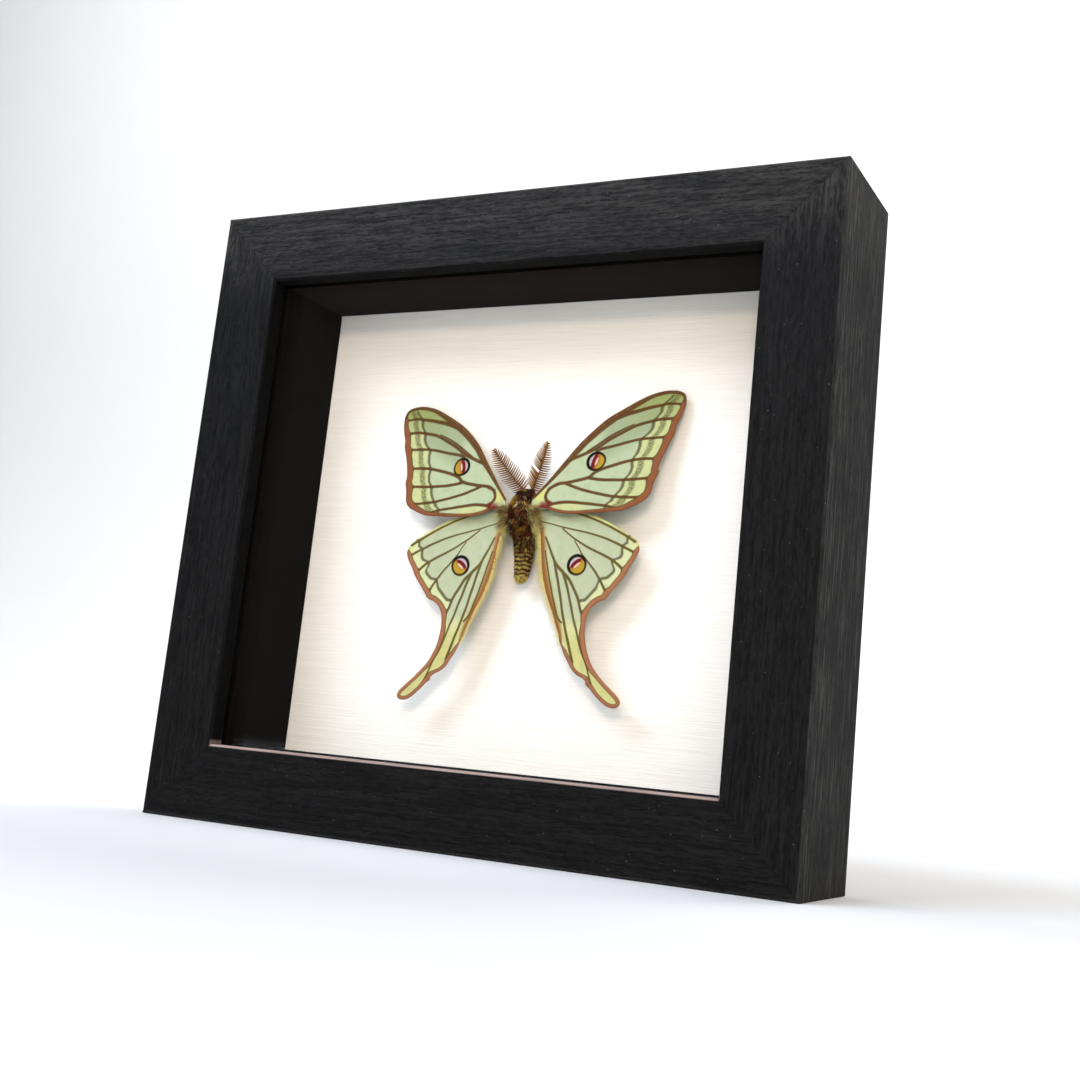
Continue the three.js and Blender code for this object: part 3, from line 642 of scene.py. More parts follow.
def hair_finish(name, rough=0.55, root=0.62):
    """Hair that takes its colour from each strand, darker by a share at the root."""
    finish = Finish(name, specular_ior_level=0.06)
    tint = finish.attribute("tint", "Color")
    along = finish.attribute("along")
    place = finish.place()
    fine = finish.noise(place, 3.0, 2.0)
    deep = finish.mix(tint, (0.0, 0.0, 0.0), root)
    ground = finish.mix(deep, tint, (along + fine * 0.3).step(0.0, 0.55))
    finish.put("Base Color", ground)
    finish.put("Roughness", rough + 0.2 * fine)
    return finish


def skin_finish(look):
    """Dark skin under the fur."""
    finish = Finish("moth_skin", specular_ior_level=0.3)
    place = finish.place()
    fine = finish.noise(place, 2.4, 4.0, 0.65)
    finish.put("Base Color", finish.mix(times(look.dark, 0.45), look.rust, fine.step(0.45, 0.85) * 0.5))
    finish.put("Roughness", 0.6 + 0.3 * fine)
    finish.bump(fine, 0.1 * MM)
    return finish


def eye_finish(look):
    """Glossy compound eye with a fine net of facets."""
    finish = Finish("compound_eye", coat_weight=0.4, coat_roughness=0.15)
    place = finish.place()
    facets = finish.node("ShaderNodeTexVoronoi", {"feature": "F1"}, {"Vector": place, "Scale": 9.0})
    finish.put("Base Color", finish.mix(look.eye, times(look.eye, 2.5), facets))
    finish.put("Roughness", 0.25 + 0.3 * facets)
    finish.bump(facets, 0.03 * MM)
    return finish


def on_card(points):
    """The moth's (u, v, h) millimetres as metres in the row frame."""
    u, v, h = np.asarray(points, float).T
    c, s = math.cos(MOTH_TURN), math.sin(MOTH_TURN)
    return np.stack((MOTH_X + u * c - v * s, CARD_FRONT - h, MOTH_Z + u * s + v * c), 1) * MM


def new_mesh(name, points, faces, material):
    mesh = bpy.data.meshes.new(name)
    mesh.from_pydata(points, [], faces)
    if mesh.validate():
        raise RuntimeError(f"{name} had faulty faces")
    mesh.materials.append(material)
    return mesh


def new_object(name, data):
    made = bpy.data.objects.new(name, data)
    bpy.context.scene.collection.objects.link(made)
    return made


class Shell:
    """A mesh in the making: points of the moth, faces, and measures kept on the points."""

    def __init__(self):
        self.points = []
        self.faces = []
        self.kept = {}
        self.total = 0

    def add(self, points, faces, **kept):
        points = np.asarray(points, float)
        self.points.append(points)
        self.faces += [tuple(int(i) + self.total for i in face) for face in faces]
        for key, values in kept.items():
            self.kept.setdefault(key, []).append(values)
        self.total += len(points)

    def piece(self, name, finish, slot, stands_for=()):
        points = on_card(np.concatenate(self.points)).tolist()
        mesh = new_mesh(name, points, self.faces, finish.material)
        for key, parts in self.kept.items():
            values = np.concatenate(parts).astype(np.float32)
            kinds = {1: ("FLOAT", "value"), 3: ("FLOAT_VECTOR", "vector"), 4: ("FLOAT_COLOR", "color")}
            kind, field = kinds[1 if values.ndim == 1 else values.shape[1]]
            mesh.attributes.new(key, kind, "POINT").data.foreach_set(field, values.ravel())
        mesh.polygons.foreach_set("use_smooth", [True] * len(mesh.polygons))
        made = new_object(name, mesh)
        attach(made, "root")
        if stands_for:
            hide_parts(*stands_for)


def spline(points, step):
    """Points along a smooth curve through the given ones, about step apart."""
    p = np.asarray(points, float)
    full = np.concatenate(([2 * p[0] - p[1]], p, [2 * p[-1] - p[-2]]))
    out = []
    for a, b, c, d in zip(full, full[1:], full[2:], full[3:]):
        n = max(2, int(round(np.linalg.norm(c - b) / step)))
        t = (np.arange(n) / n)[:, None]
        square = 2 * a - 5 * b + 4 * c - d
        cube = 3 * b - a - 3 * c + d
        out.append(0.5 * (2 * b + (c - a) * t + square * t**2 + cube * t**3))
    return np.concatenate((*out, p[-1:]))


def measure(points, curve):
    """Each point's distance from a curve, the same with a sign (left is positive), and its share along."""
    start, run = curve[:-1], np.diff(curve, axis=0)
    rel = points[:, None, :] - start
    t = np.clip((rel * run).sum(2) / (run**2).sum(1), 0, 1)
    off = np.linalg.norm(rel - t[..., None] * run, axis=2)
    i = off.argmin(1)
    row = np.arange(len(points))
    near, r, d = off[row, i], rel[row, i], run[i]
    signed = np.where(d[:, 0] * r[:, 1] - d[:, 1] * r[:, 0] >= 0, near, -near)
    return near, signed, (i + t[row, i]) / len(run)


def inside(points, loop):
    """Which points lie inside a closed loop."""
    x, y = points.T
    found = np.zeros(len(points), bool)
    for (x0, y0), (x1, y1) in zip(loop, np.roll(loop, -1, 0)):
        if y0 != y1:
            found ^= ((y0 > y) != (y1 > y)) & (x < (x1 - x0) * (y - y0) / (y1 - y0) + x0)
    return found


def ease(x, low, high):
    t = np.clip((x - low) / (high - low), 0, 1)
    return t * t * (3 - 2 * t)


def beside(points, path):
    """Each point's distance from a marking's path, positive on its left."""
    return measure(points, spline(path, LINE_STEP))[1]


def wing_points(loop, veins):
    """Points inside a wing's edge: rows along each vein, and an even spread between them."""
    rows = [loop]
    for wide, thin, path in veins:
        curve = spline(path, EDGE_STEP)
        run = np.gradient(curve, axis=0)
        across = np.stack((-run[:, 1], run[:, 0]), 1) / np.linalg.norm(run, axis=1)[:, None]
        half = np.linspace(wide, thin, len(curve))[:, None]
        rows += [curve + across * half * k for k in VEIN_ROWS]
    lined = np.concatenate(rows)
    low, high = loop.min(0), loop.max(0)
    gx, gy = np.meshgrid(np.arange(low[0], high[0], CELL_STEP), np.arange(low[1], high[1], ROW_STEP))
    gx[1::2] += CELL_STEP / 2
    grid = np.stack((gx.ravel(), gy.ravel()), 1)
    cells = {(round(x / ROW_CLEAR), round(y / ROW_CLEAR)) for x, y in lined}
    around = [(i, j) for i in (-1, 0, 1) for j in (-1, 0, 1)]
    near = []
    for x, y in grid:
        column, row = round(x / ROW_CLEAR), round(y / ROW_CLEAR)
        near.append(any((column + i, row + j) in cells for i, j in around))
    free = np.concatenate((lined[len(loop):], grid[~np.array(near)]))
    free = free[inside(free, loop)]
    free = free[measure(free, np.concatenate((loop, loop[:1])))[0] > EDGE_CLEAR]
    _, first = np.unique(np.round(free / POINT_CLEAR).astype(int), axis=0, return_index=True)
    return free[np.sort(first)]


def vein_measures(spots, veins):
    """Each point's distance from its nearest vein, in half widths of the vein and in millimetres."""
    widths = np.full(len(spots), FAR)
    away = np.full(len(spots), FAR)
    for wide, thin, path in veins:
        off, _, along = measure(spots, spline(path, EDGE_STEP))
        widths = np.minimum(widths, off / (wide + (thin - wide) * along))
        away = np.minimum(away, off)
    return widths, away


def fore_marks(spots, edges, ridge):
    """Measures of a forewing's markings: distances in widths of the marking, and shares of a colour."""
    u, v = spots.T
    (from_costa, _, costa_along), (from_outer, _, outer_along), (from_last, _, last_along) = edges
    middle = ease(ridge, 0.25, 2.0)
    notch = 1 + 0.28 * np.exp(-((ridge / 0.8) ** 2))
    line = beside(spots, FORE_LINE) - 0.5 * middle + 0.2
    costa_wide = np.interp(costa_along, (0, 0.12, 0.3, 0.55, 0.8, 1), (0.6, 0.9, 1.75, 2.0, 1.05, 0.8))
    outer_wide = np.interp(outer_along, (0, 0.12, 0.3, 0.9, 1), (1.0, 1.5, 1.95, 2.05, 1.8)) * notch
    last_wide = np.interp(last_along, (0, 0.2, 0.4, 0.9, 1), (1.9, 1.3, 0.95, 0.8, 0.4))
    above = beside(spots, UPPER_VEIN)
    over = beside(spots, TOP_VEIN)
    wash = 0.9 * ease(over, -0.3, 0.3) * ease(u, 24, 27) + 0.5 * ease(above, -0.3, 0.6) * ease(u, 22, 36)
    gold = 0.95 * np.exp(-(((u - 6) / 1.5) ** 4) - ((v - 5.2) / 2.2) ** 4)
    nothing = np.zeros(len(spots))
    return {
        "rim": from_costa / costa_wide,
        "hem": np.minimum(from_outer / outer_wide, from_last / last_wide),
        "line": line,
        "zone": ease(line, -0.2, 0.9),
        "band": beside(spots, FORE_BAND) - 0.4 * middle + 0.15,
        "wash": np.clip(wash, 0, 0.95),
        "shade": ease(above, -7, -1.5) * ease(u, 18.5, 23),
        "gold": np.maximum(gold, 0.5 * ease(2.9 - v, 0, 0.5) * ease(22 - u, 0, 6)),
        "tail": nothing,
        "blush": np.exp(-(((u - 7.7) / 1.7) ** 4) - ((v - 2.5) / 1.0) ** 4),
        "inner": nothing + FAR,
        "hind": nothing,
    }


def hind_marks(spots, edges, ridge):
    """Measures of a hindwing's markings, of the same kinds as a forewing's."""
    u, v = spots.T
    (from_costa, _, _), (from_outer, _, outer_along), (from_last, _, last_along) = edges
    notch = 1 + 0.28 * np.exp(-((ridge / 0.8) ** 2))
    outside = beside(spots, TAIL_VEIN) > 0
    line = beside(spots, HIND_LINE) - 0.7 * ease(ridge, 0.25, 2.0) + 0.25
    line = np.where(outside, line, NO_LINE)
    outer_wide = np.interp(outer_along, (0, 0.05, 0.3, 0.45, 0.97, 1), (1.1, 1.45, 1.5, 1.1, 0.95, 0.4))
    last_wide = np.interp(last_along, (0, 0.08, 0.5, 0.9, 1), (0.7, 1.5, 2.2, 1.6, 0.7))
    gold = 0.75 * ease(1.5 - from_costa, 0, 0.8) * ease(u, 14, 20)
    nothing = np.zeros(len(spots))
    return {
        "rim": nothing + FAR,
        "hem": from_outer / (outer_wide * notch),
        "line": line,
        "zone": np.where(outside, ease(line, -0.2, 0.9), ease(-v, 25.5, 29.5)),
        "band": nothing + FAR,
        "wash": nothing,
        "shade": 0.25 * ease(v, -8, 0),
        "gold": np.maximum(gold, 0.35 * ease(3.4 - from_last, 0, 2.4)),
        "tail": ease(-v, 25, 34) * ease(from_outer, 0.5, 1.6),
        "blush": nothing,
        "inner": from_last / last_wide,
        "hind": nothing + 1,
    }


def eyespot(spots, middle, radius, turn):
    """Each point's place in an eyespot, across and along it in radii, and its distance from the middle."""
    a = math.radians(turn)
    du, dv = ((spots - middle) / radius).T
    across = du * math.cos(a) + dv * math.sin(a)
    along = dv * math.cos(a) - du * math.sin(a)
    return np.stack((across, along, np.hypot(du, dv)), 1)


def wing_height(look, kind, side, spots, edges, ridge):
    """Height of a wing's sheet off the card: ridges on its veins, sunk cells and slow waves."""
    u, v = spots.T
    from_costa, from_outer = edges[0][0], edges[1][0]
    h0, per_u, per_v = WING_PLANES[kind]
    cell = ease(np.minimum(ridge, np.minimum(from_outer, from_costa)), 0.2, 2.6)
    lift = look.ridge / MM * np.exp(-((ridge / 0.3) ** 2)) - look.sag / MM * cell
    lift += 0.16 * np.sin(0.33 * u + 0.6 * side) * np.sin(0.27 * v + 0.9)
    lift += 0.05 * np.sin(1.3 * u - 0.8 * v + side)
    if kind == "forewing":
        lift += 0.12 * np.exp(-((from_costa / 0.9) ** 2))
    return h0 + per_u * u + per_v * v + WING_HALF + lift


def two_sided(sheet, n):
    """Faces of a closed wing from those of its upper side, which has n points."""
    edges = {}
    for face in sheet:
        edges.update(dict.fromkeys(zip(face, face[1:] + face[:1])))
    band = [(j, i, n + i, n + j) for i, j in edges if (j, i) not in edges]
    return sheet + [tuple(n + i for i in reversed(face)) for face in sheet] + band


def build_wing(look, kind, hand):
    """One wing: a thin sheet with raised veins and sunk cells that keeps the measures of its markings."""
    side = HANDS[hand]
    fore = kind == "forewing"
    stretches, veins, marks, eye = HIND_EDGES, HIND_VEINS, hind_marks, HIND_EYE
    if fore:
        stretches, veins, marks, eye = FORE_EDGES, FORE_VEINS, fore_marks, FORE_EYE
    curves = [spline(stretch, EDGE_STEP) for stretch in stretches]
    loop = np.concatenate((curves[0][:-1], curves[1][:-1], curves[2] if fore else curves[2][:-1]))
    corners = [Vector(spot) for spot in np.concatenate((loop, wing_points(loop, veins)))]
    flat, _, faces, *_ = delaunay_2d_cdt(corners, [], [list(range(len(loop)))], 1, 1e-5)
    spots = np.array([tuple(spot) for spot in flat])
    n = len(spots)
    edges = [measure(spots, curve) for curve in curves]
    vein, ridge = vein_measures(spots, veins)
    kept = marks(spots, edges, ridge)
    kept["vein"] = vein
    kept["eye"] = eyespot(spots, *eye)
    kept["place"] = np.stack((side * spots[:, 0], spots[:, 1], np.zeros(n)), 1)
    half = np.array((0.0, 0.0, look.thick / MM / 2))
    sheet = kept["place"].copy()
    sheet[:, 2] = wing_height(look, kind, side, spots, edges, ridge)
    skin = two_sided([tuple(face) for face in faces], n)
    if side < 0:
        skin = [tuple(reversed(face)) for face in skin]
    shell = Shell()
    both = {key: np.concatenate((values, values)) for key, values in kept.items()}
    shell.add(np.concatenate((sheet + half, sheet - half)), skin, **both)
    return shell


def unit(vectors):
    return vectors / np.maximum(np.linalg.norm(vectors, axis=-1, keepdims=True), 1e-9)


def ring_faces(rings, sides):
    """Faces between rings of points that follow each other."""
    faces = []
    for k in range(0, (rings - 1) * sides, sides):
        for s in range(sides):
            e = (s + 1) % sides
            faces.append((k + s, k + e, k + sides + e, k + sides + s))
    return faces


def strands(root, way, length, bend, radius, sides=3, rings=3, taper=0.6):
    """Tapered hairs, each closed: their points, faces and share of the way along."""
    n = len(root)
    length = np.broadcast_to(length, n)[:, None]
    radius = np.broadcast_to(radius, n)[:, None]
    prop = np.where(np.abs(way[:, 2:3]) < 0.8, (0.0, 0.0, 1.0), (1.0, 0.0, 0.0))
    one = unit(np.cross(way, prop))
    two = np.cross(way, one)
    rows, along = [], []
    for k in range(rings):
        t = k / rings
        centre = root + way * length * t + bend * length * t * t
        for s in range(sides):
            a = 2 * math.pi * s / sides
            rows.append(centre + (one * math.cos(a) + two * math.sin(a)) * radius * (1 - t) ** taper)
            along.append(t)
    rows.append(root + way * length + bend * length)
    along.append(1.0)
    points = np.stack(rows, 1).reshape(-1, 3)
    per = sides * rings + 1
    last = (rings - 1) * sides
    tip = [(last + s, last + (s + 1) % sides, per - 1) for s in range(sides)]
    shape = [tuple(range(sides - 1, -1, -1)), *ring_faces(rings, sides), *tip]
    faces = [tuple(i * per + c for c in corner) for i in range(n) for corner in shape]
    return points, faces, np.tile(along, n), per


def add_hairs(shell, root, way, length, bend, radius, tint, **more):
    points, faces, along, per = strands(root, unit(way), length, bend, radius, **more)
    paint = np.concatenate((np.asarray(tint), np.ones((len(root), 1))), 1)
    shell.add(points, faces, along=along, tint=np.repeat(paint, per, 0))


def blend_tints(weights, *tints):
    """Each hair's colour from its weights of several colours."""
    w = np.asarray(weights, float)
    return (w / w.sum(1, keepdims=True)) @ np.array([tuple(t) for t in tints])


def body_at(v):
    """Height of the body's middle and its radius at v."""
    table = np.array(BODY_RINGS[::-1])
    h = np.interp(v, table[:, 0], table[:, 1])
    r = np.interp(v, table[:, 0], table[:, 2])
    ripple = np.where(v < SEGMENT_FROM, np.abs(np.sin(math.pi * (SEGMENT_FROM - v) / SEGMENT)), 0)
    return h, r * (1 + 0.07 * ripple)


def body_u(v):
    """How far the body's middle is off the moth's own middle at v: the abdomen bends a little to the left."""
    return BODY_SHIFT - 0.75 * ease(-np.asarray(v, float), 2, 17)


def tube(path, radii, sides):
    """A closed tube along a path: its points and faces."""
    path = np.asarray(path, float)
    run = unit(np.gradient(path, axis=0))
    prop = np.array((0.0, 0.0, 1.0)) if abs(run[0][2]) < 0.8 else np.array((1.0, 0.0, 0.0))
    one = unit(np.cross(run, prop))
    two = np.cross(run, one)
    n = len(path)
    points = []
    for k in range(n):
        for s in range(sides):
            a = 2 * math.pi * s / sides
            points.append(path[k] + (one[k] * math.cos(a) + two[k] * math.sin(a)) * radii[k])
    ends = [tuple(range(sides - 1, -1, -1)), tuple(range((n - 1) * sides, n * sides))]
    return np.array(points), ends + ring_faces(n, sides)


def body_skin():
    """The bare body under its fur, and its six legs."""
    shell = Shell()
    sides, steps = 32, 110
    vs = np.linspace(BODY_RINGS[0][0] - 0.05, BODY_RINGS[-1][0] + 0.05, steps)
    h, r = body_at(vs)
    angles = 2 * math.pi * np.arange(sides) / sides
    points = []
    for u, v, up, wide in zip(body_u(vs), vs, h, 0.94 * np.maximum(r, 0.05)):
        points += [(u + wide * math.cos(a), v, up + wide * math.sin(a)) for a in angles]
    faces = [tuple(range(sides)), tuple(reversed(range((steps - 1) * sides, steps * sides)))]
    faces += [(a, d, c, b) for a, b, c, d in ring_faces(steps, sides)]
    shell.add(points, faces)
    for side in HANDS.values():
        for v, sweep in LEGS:
            bends = ((0.8, 0.0, 5), (1.0, 0.5, 3.4), (0.9, 1.0, 2.2), (0.6, 1.6, 1.2))
            leg = spline([(BODY_SHIFT + side * u, v + part * sweep, h) for u, part, h in bends], 0.25)
            radii = np.interp(np.linspace(0, 1, len(leg)), (0, 0.4, 0.5, 1), (0.5, 0.42, 0.34, 0.16))
            shell.add(*tube(leg, radii, 10))
    return shell


def tufts(
    shell, draw, v, around, lift, sweep, twist, length, tint, hairs, radius, loose=0.22, spread=0.2, rings=3
):
    """Tufts of hair on the body: one entry a tuft for its place, lean, length and colour."""
    i = np.repeat(np.arange(len(v)), hairs)
    n = len(i)
    at = v[i] + draw.normal(0, spread, n)
    a = around[i] + draw.normal(0, 0.1, n)
    h, r = body_at(at)
    out = np.stack((np.cos(a), np.zeros(n), np.sin(a)), 1)
    aside = np.stack((-np.sin(a), np.zeros(n), np.cos(a)), 1)
    root = np.stack((body_u(at), at, h), 1) + out * (0.9 * r)[:, None]
    lean = out * lift[i, None] + aside * twist[i, None] + np.array((0.0, -1.0, 0.0)) * sweep[i, None]
    stray = draw.normal(0, loose, (n, 3))
    bend = -0.5 * stray - 0.18 * out + draw.normal(0, 0.08, (n, 3))
    shade = draw.uniform(0.7, 1.3, (n, 1))
    length = length[i] * draw.uniform(0.7, 1.1, n)
    add_hairs(shell, root, unit(lean) + stray, length, bend, radius, tint[i] * shade, rings=rings)


def pick_tints(draw, n, odds, tints):
    """One of several colours for each of n tufts. Each colour's odds are a number, or one a tuft."""
    sums = np.cumsum(np.stack([np.broadcast_to(part, n) for part in odds], 1), 1)
    chosen = (draw.random((n, 1)) * sums[:, -1:] > sums).sum(1)
    return np.array([tuple(tint) for tint in tints])[chosen]


def thorax_tufts(shell, look, draw):
    """Dark tufts of the head and thorax, with a yellow collar and a yellow left shoulder."""
    n = look.thorax_tufts
    v = draw.uniform(-4.2, 7.0, n)
    a = draw.uniform(-0.4, math.pi + 0.4, n)
    front = ease(v, 5.2, 6.8)
    rear = ease(-v, 1.6, 4.0)
    shoulder = np.exp(-(((a - 2.55) / 0.32) ** 2) - ((v - 4.4) / 1.3) ** 2)
    yellow = 2.2 * ease(v, 6.1, 6.8) * ease(a, 0.9, 1.6) + 6 * shoulder + 0.1 * rear
    odds = (0.6, 0.24 + 0.35 * front, 0.07 + 0.1 * rear, 0.06 + 0.1 * ease(v, -2, 3), yellow)
    tint = pick_tints(draw, n, odds, (look.dark, look.rust, look.tan, look.rose, look.collar))
    lift = draw.uniform(0.3, 0.8, n)
    sweep = draw.uniform(0.55, 1.1, n) - 1.5 * front
    twist = draw.normal(0, 0.45, n)
    length = draw.uniform(1.5, 2.9, n) * (1 - 0.6 * front)
    tufts(shell, draw, v, a, lift, sweep, twist, length, tint, look.tuft_hairs, look.hair / MM)


def thorax_streaks(shell, look, draw):
    """Thin light tufts that streak the thorax."""
    n = look.thorax_streaks
    v = draw.uniform(-3.6, 5.4, n)
    a = draw.normal(1.6, 0.65, n)
    tint = pick_tints(draw, n, (0.4, 0.25, 0.08, 0.2), (look.rose, look.tan, look.collar, look.fringe))
    lift = draw.uniform(0.5, 0.9, n)
    length = draw.uniform(1.6, 2.6, n)
    sweep = draw.uniform(0.5, 1.0, n)
    twist = draw.normal(0, 0.5, n)
    hair = look.hair / MM * 1.1
    tufts(shell, draw, v, a, lift, sweep, twist, length, tint, look.streak_hairs, hair, 0.1, 0.08)


def root_tufts(shell, look, draw, side):
    """Tufts on one side of the thorax that reach out to the wing roots, paler to the rear."""
    n = look.root_tufts
    v = draw.uniform(-4.0, 3.4, n)
    up = draw.uniform(-0.15, 0.5, n)
    a = up if side > 0 else math.pi - up
    pale = ease(-v, 0.6, 2.4)
    odds = (0.12, 0.1, 0.75 * (1 - pale) + 0.2, 0.15 + 1.1 * pale)
    tint = pick_tints(draw, n, odds, (look.dark, look.rust, look.grey, look.fringe))
    lift = draw.uniform(0.9, 1.3, n)
    sweep = draw.normal(0.3, 0.45, n)
    twist = side * draw.normal(-0.15, 0.2, n)
    length = draw.uniform(1.6, 3.2, n)
    hair = look.hair / MM * 0.75
    tufts(shell, draw, v, a, lift, sweep, twist, length, tint, look.root_hairs, hair, 0.26)


def root_locks(shell, look, draw, side):
    """Soft locks that lie over the roots of the two wings on one side."""
    n = look.root_locks
    u = draw.uniform(3.0, 5.4, n)
    v = draw.uniform(-3.2, 2.3, n)
    h = np.where(v > 1.4, 10.0, 7.6 + 0.5 * (v + 3.4)) + draw.uniform(-0.2, 0.3, n)
    outward = side * draw.uniform(0.5, 1.0, n)
    forward = draw.normal(-0.3, 0.4, n) + 0.12 * v
    lean = np.stack((outward, forward, draw.normal(0.12, 0.12, n)), 1)
    pale = ease(-v, 0.4, 2.2)
    odds = (0.1, 0.12, 0.16, 0.7 * (1 - pale) + 0.15, 0.2 + 0.9 * pale)
    tint = pick_tints(draw, n, odds, (look.dark, look.rust, look.rose, look.grey, look.fringe))
    length = draw.uniform(1.2, 3.2, n)
    i = np.repeat(np.arange(n), look.lock_hairs)
    root = np.stack((side * u, v, h), 1)[i] + draw.normal(0, 0.26, (len(i), 3))
    way = lean[i] + draw.normal(0, 0.24, (len(i), 3))
    bend = draw.normal(0, 0.1, (n, 3))[i] - np.array((0.08 * side, 0.12, 0.14))
    shade = draw.uniform(0.75, 1.2, (len(i), 1))
    length = length[i] * draw.uniform(0.6, 1.1, len(i))
    add_hairs(shell, root, way, length, bend, look.hair / MM * 0.65, tint[i] * shade)


def thorax_fur(look, draw):
    """Long tufted fur of the head, collar and thorax, and the soft hair over the wing roots."""
    shell = Shell()
    thorax_tufts(shell, look, draw)
    thorax_streaks(shell, look, draw)
    for side in HANDS.values():
        root_tufts(shell, look, draw, side)
    for side in HANDS.values():
        root_locks(shell, look, draw, side)
    return shell


def abdomen_fur(look, draw):
    """Fur of the abdomen: rings of dark brown, each with a wavy yellow fringe, and a yellow tip."""
    shell = Shell()
    hair, hairs = look.hair / MM, look.ring_hairs
    rings = look.abdomen_rings
    gap = (RINGS_FROM - RINGS_TO) / rings
    k = np.repeat(np.arange(rings), look.ring_tufts)
    n = len(k)
    early = ease(0.66 * rings - k, 0, 0.45 * rings)
    skin = (0.5 + 0.3 * early, 0.45 - 0.2 * early, 0.06 * (1 - early))
    edge = (0.38 + 0.35 * early, 0.42 - 0.1 * early, 0.2 - 0.06 * early)
    fringe = (0.02 + 0.55 * early, 0.22 + 0.2 * early, 0.78 - 0.68 * early)
    rows = (
        (0.0, (look.dark, look.rust, look.tan), skin),
        (0.34, (look.dark, look.rust, look.ochre), edge),
        (0.62, (look.dark, look.ochre, look.straw), fringe),
    )
    for late, tints, odds in rows:
        a = draw.uniform(-0.6, math.pi + 0.6, n)
        wave = 0.34 * np.abs(np.sin(2.5 * (a - math.pi / 2 + 0.1))) + draw.normal(0, 0.06 + 0.12 * early, n)
        v = RINGS_FROM - gap * (k + late) + wave
        length = draw.uniform(0.6, 0.85, n) + 0.35 * early
        lift = draw.uniform(0.26, 0.42, n) + 0.12 * early
        tint = pick_tints(draw, n, odds, tints)
        twist = draw.normal(0, 0.16, n)
        tufts(shell, draw, v, a, lift, np.ones(n), twist, length, tint, hairs, hair, 0.2, 0.1, 2)
    n = look.tip_tufts
    v = draw.uniform(-16.9, -15.4, n)
    a = draw.uniform(-0.8, math.pi + 0.8, n)
    tint = pick_tints(draw, n, (0.06, 0.24, 0.7), (look.rust, look.ochre, look.straw))
    lift = draw.uniform(0.35, 0.6, n) - 0.7 * ease(-v, 15.8, 16.9)
    length = draw.uniform(0.45, 0.7, n)
    twist = draw.normal(0, 0.2, n)
    tufts(shell, draw, v, a, lift, np.ones(n), twist, length, tint, hairs, hair, 0.25, 0.1, 2)
    return shell


def hind_fringe(look, draw, side):
    """Long pale hair along the inner margin of a hindwing."""
    shell = Shell()
    margin = spline(HIND_INNER[:-1], 0.2)
    n = look.fringe_hairs
    pick = draw.integers(0, len(margin), n)
    u, v = margin[pick].T
    u = u + draw.uniform(0.0, 0.35, n)
    h0, per_u, per_v = WING_PLANES["hindwing"]
    root = np.stack((side * u, v, h0 + per_u * u + per_v * v + FRINGE_UP), 1)
    high = ease(v, -30, -9)
    inward = side * -draw.uniform(0.35, 0.8, n)
    back = draw.normal(-0.75, 0.2, n)
    way = np.stack((inward, back, draw.normal(0.05, 0.12, n)), 1)
    inward = side * -draw.normal(0.25, 0.12, n)
    back = draw.normal(-0.2, 0.1, n)
    bend = np.stack((inward, back, draw.normal(-0.1, 0.1, n)), 1)
    length = draw.uniform(0.5, 1.4, n) + 1.5 * high * draw.random(n)
    weights = np.stack((1.0 + draw.random(n), 0.4 * draw.random(n), 0.06 * draw.random(n)), 1)
    tint = blend_tints(weights, look.fringe, look.straw, look.rust) * draw.uniform(0.85, 1.1, (n, 1))
    add_hairs(shell, root, way, length, bend, look.hair / MM * 0.55, tint)
    return shell


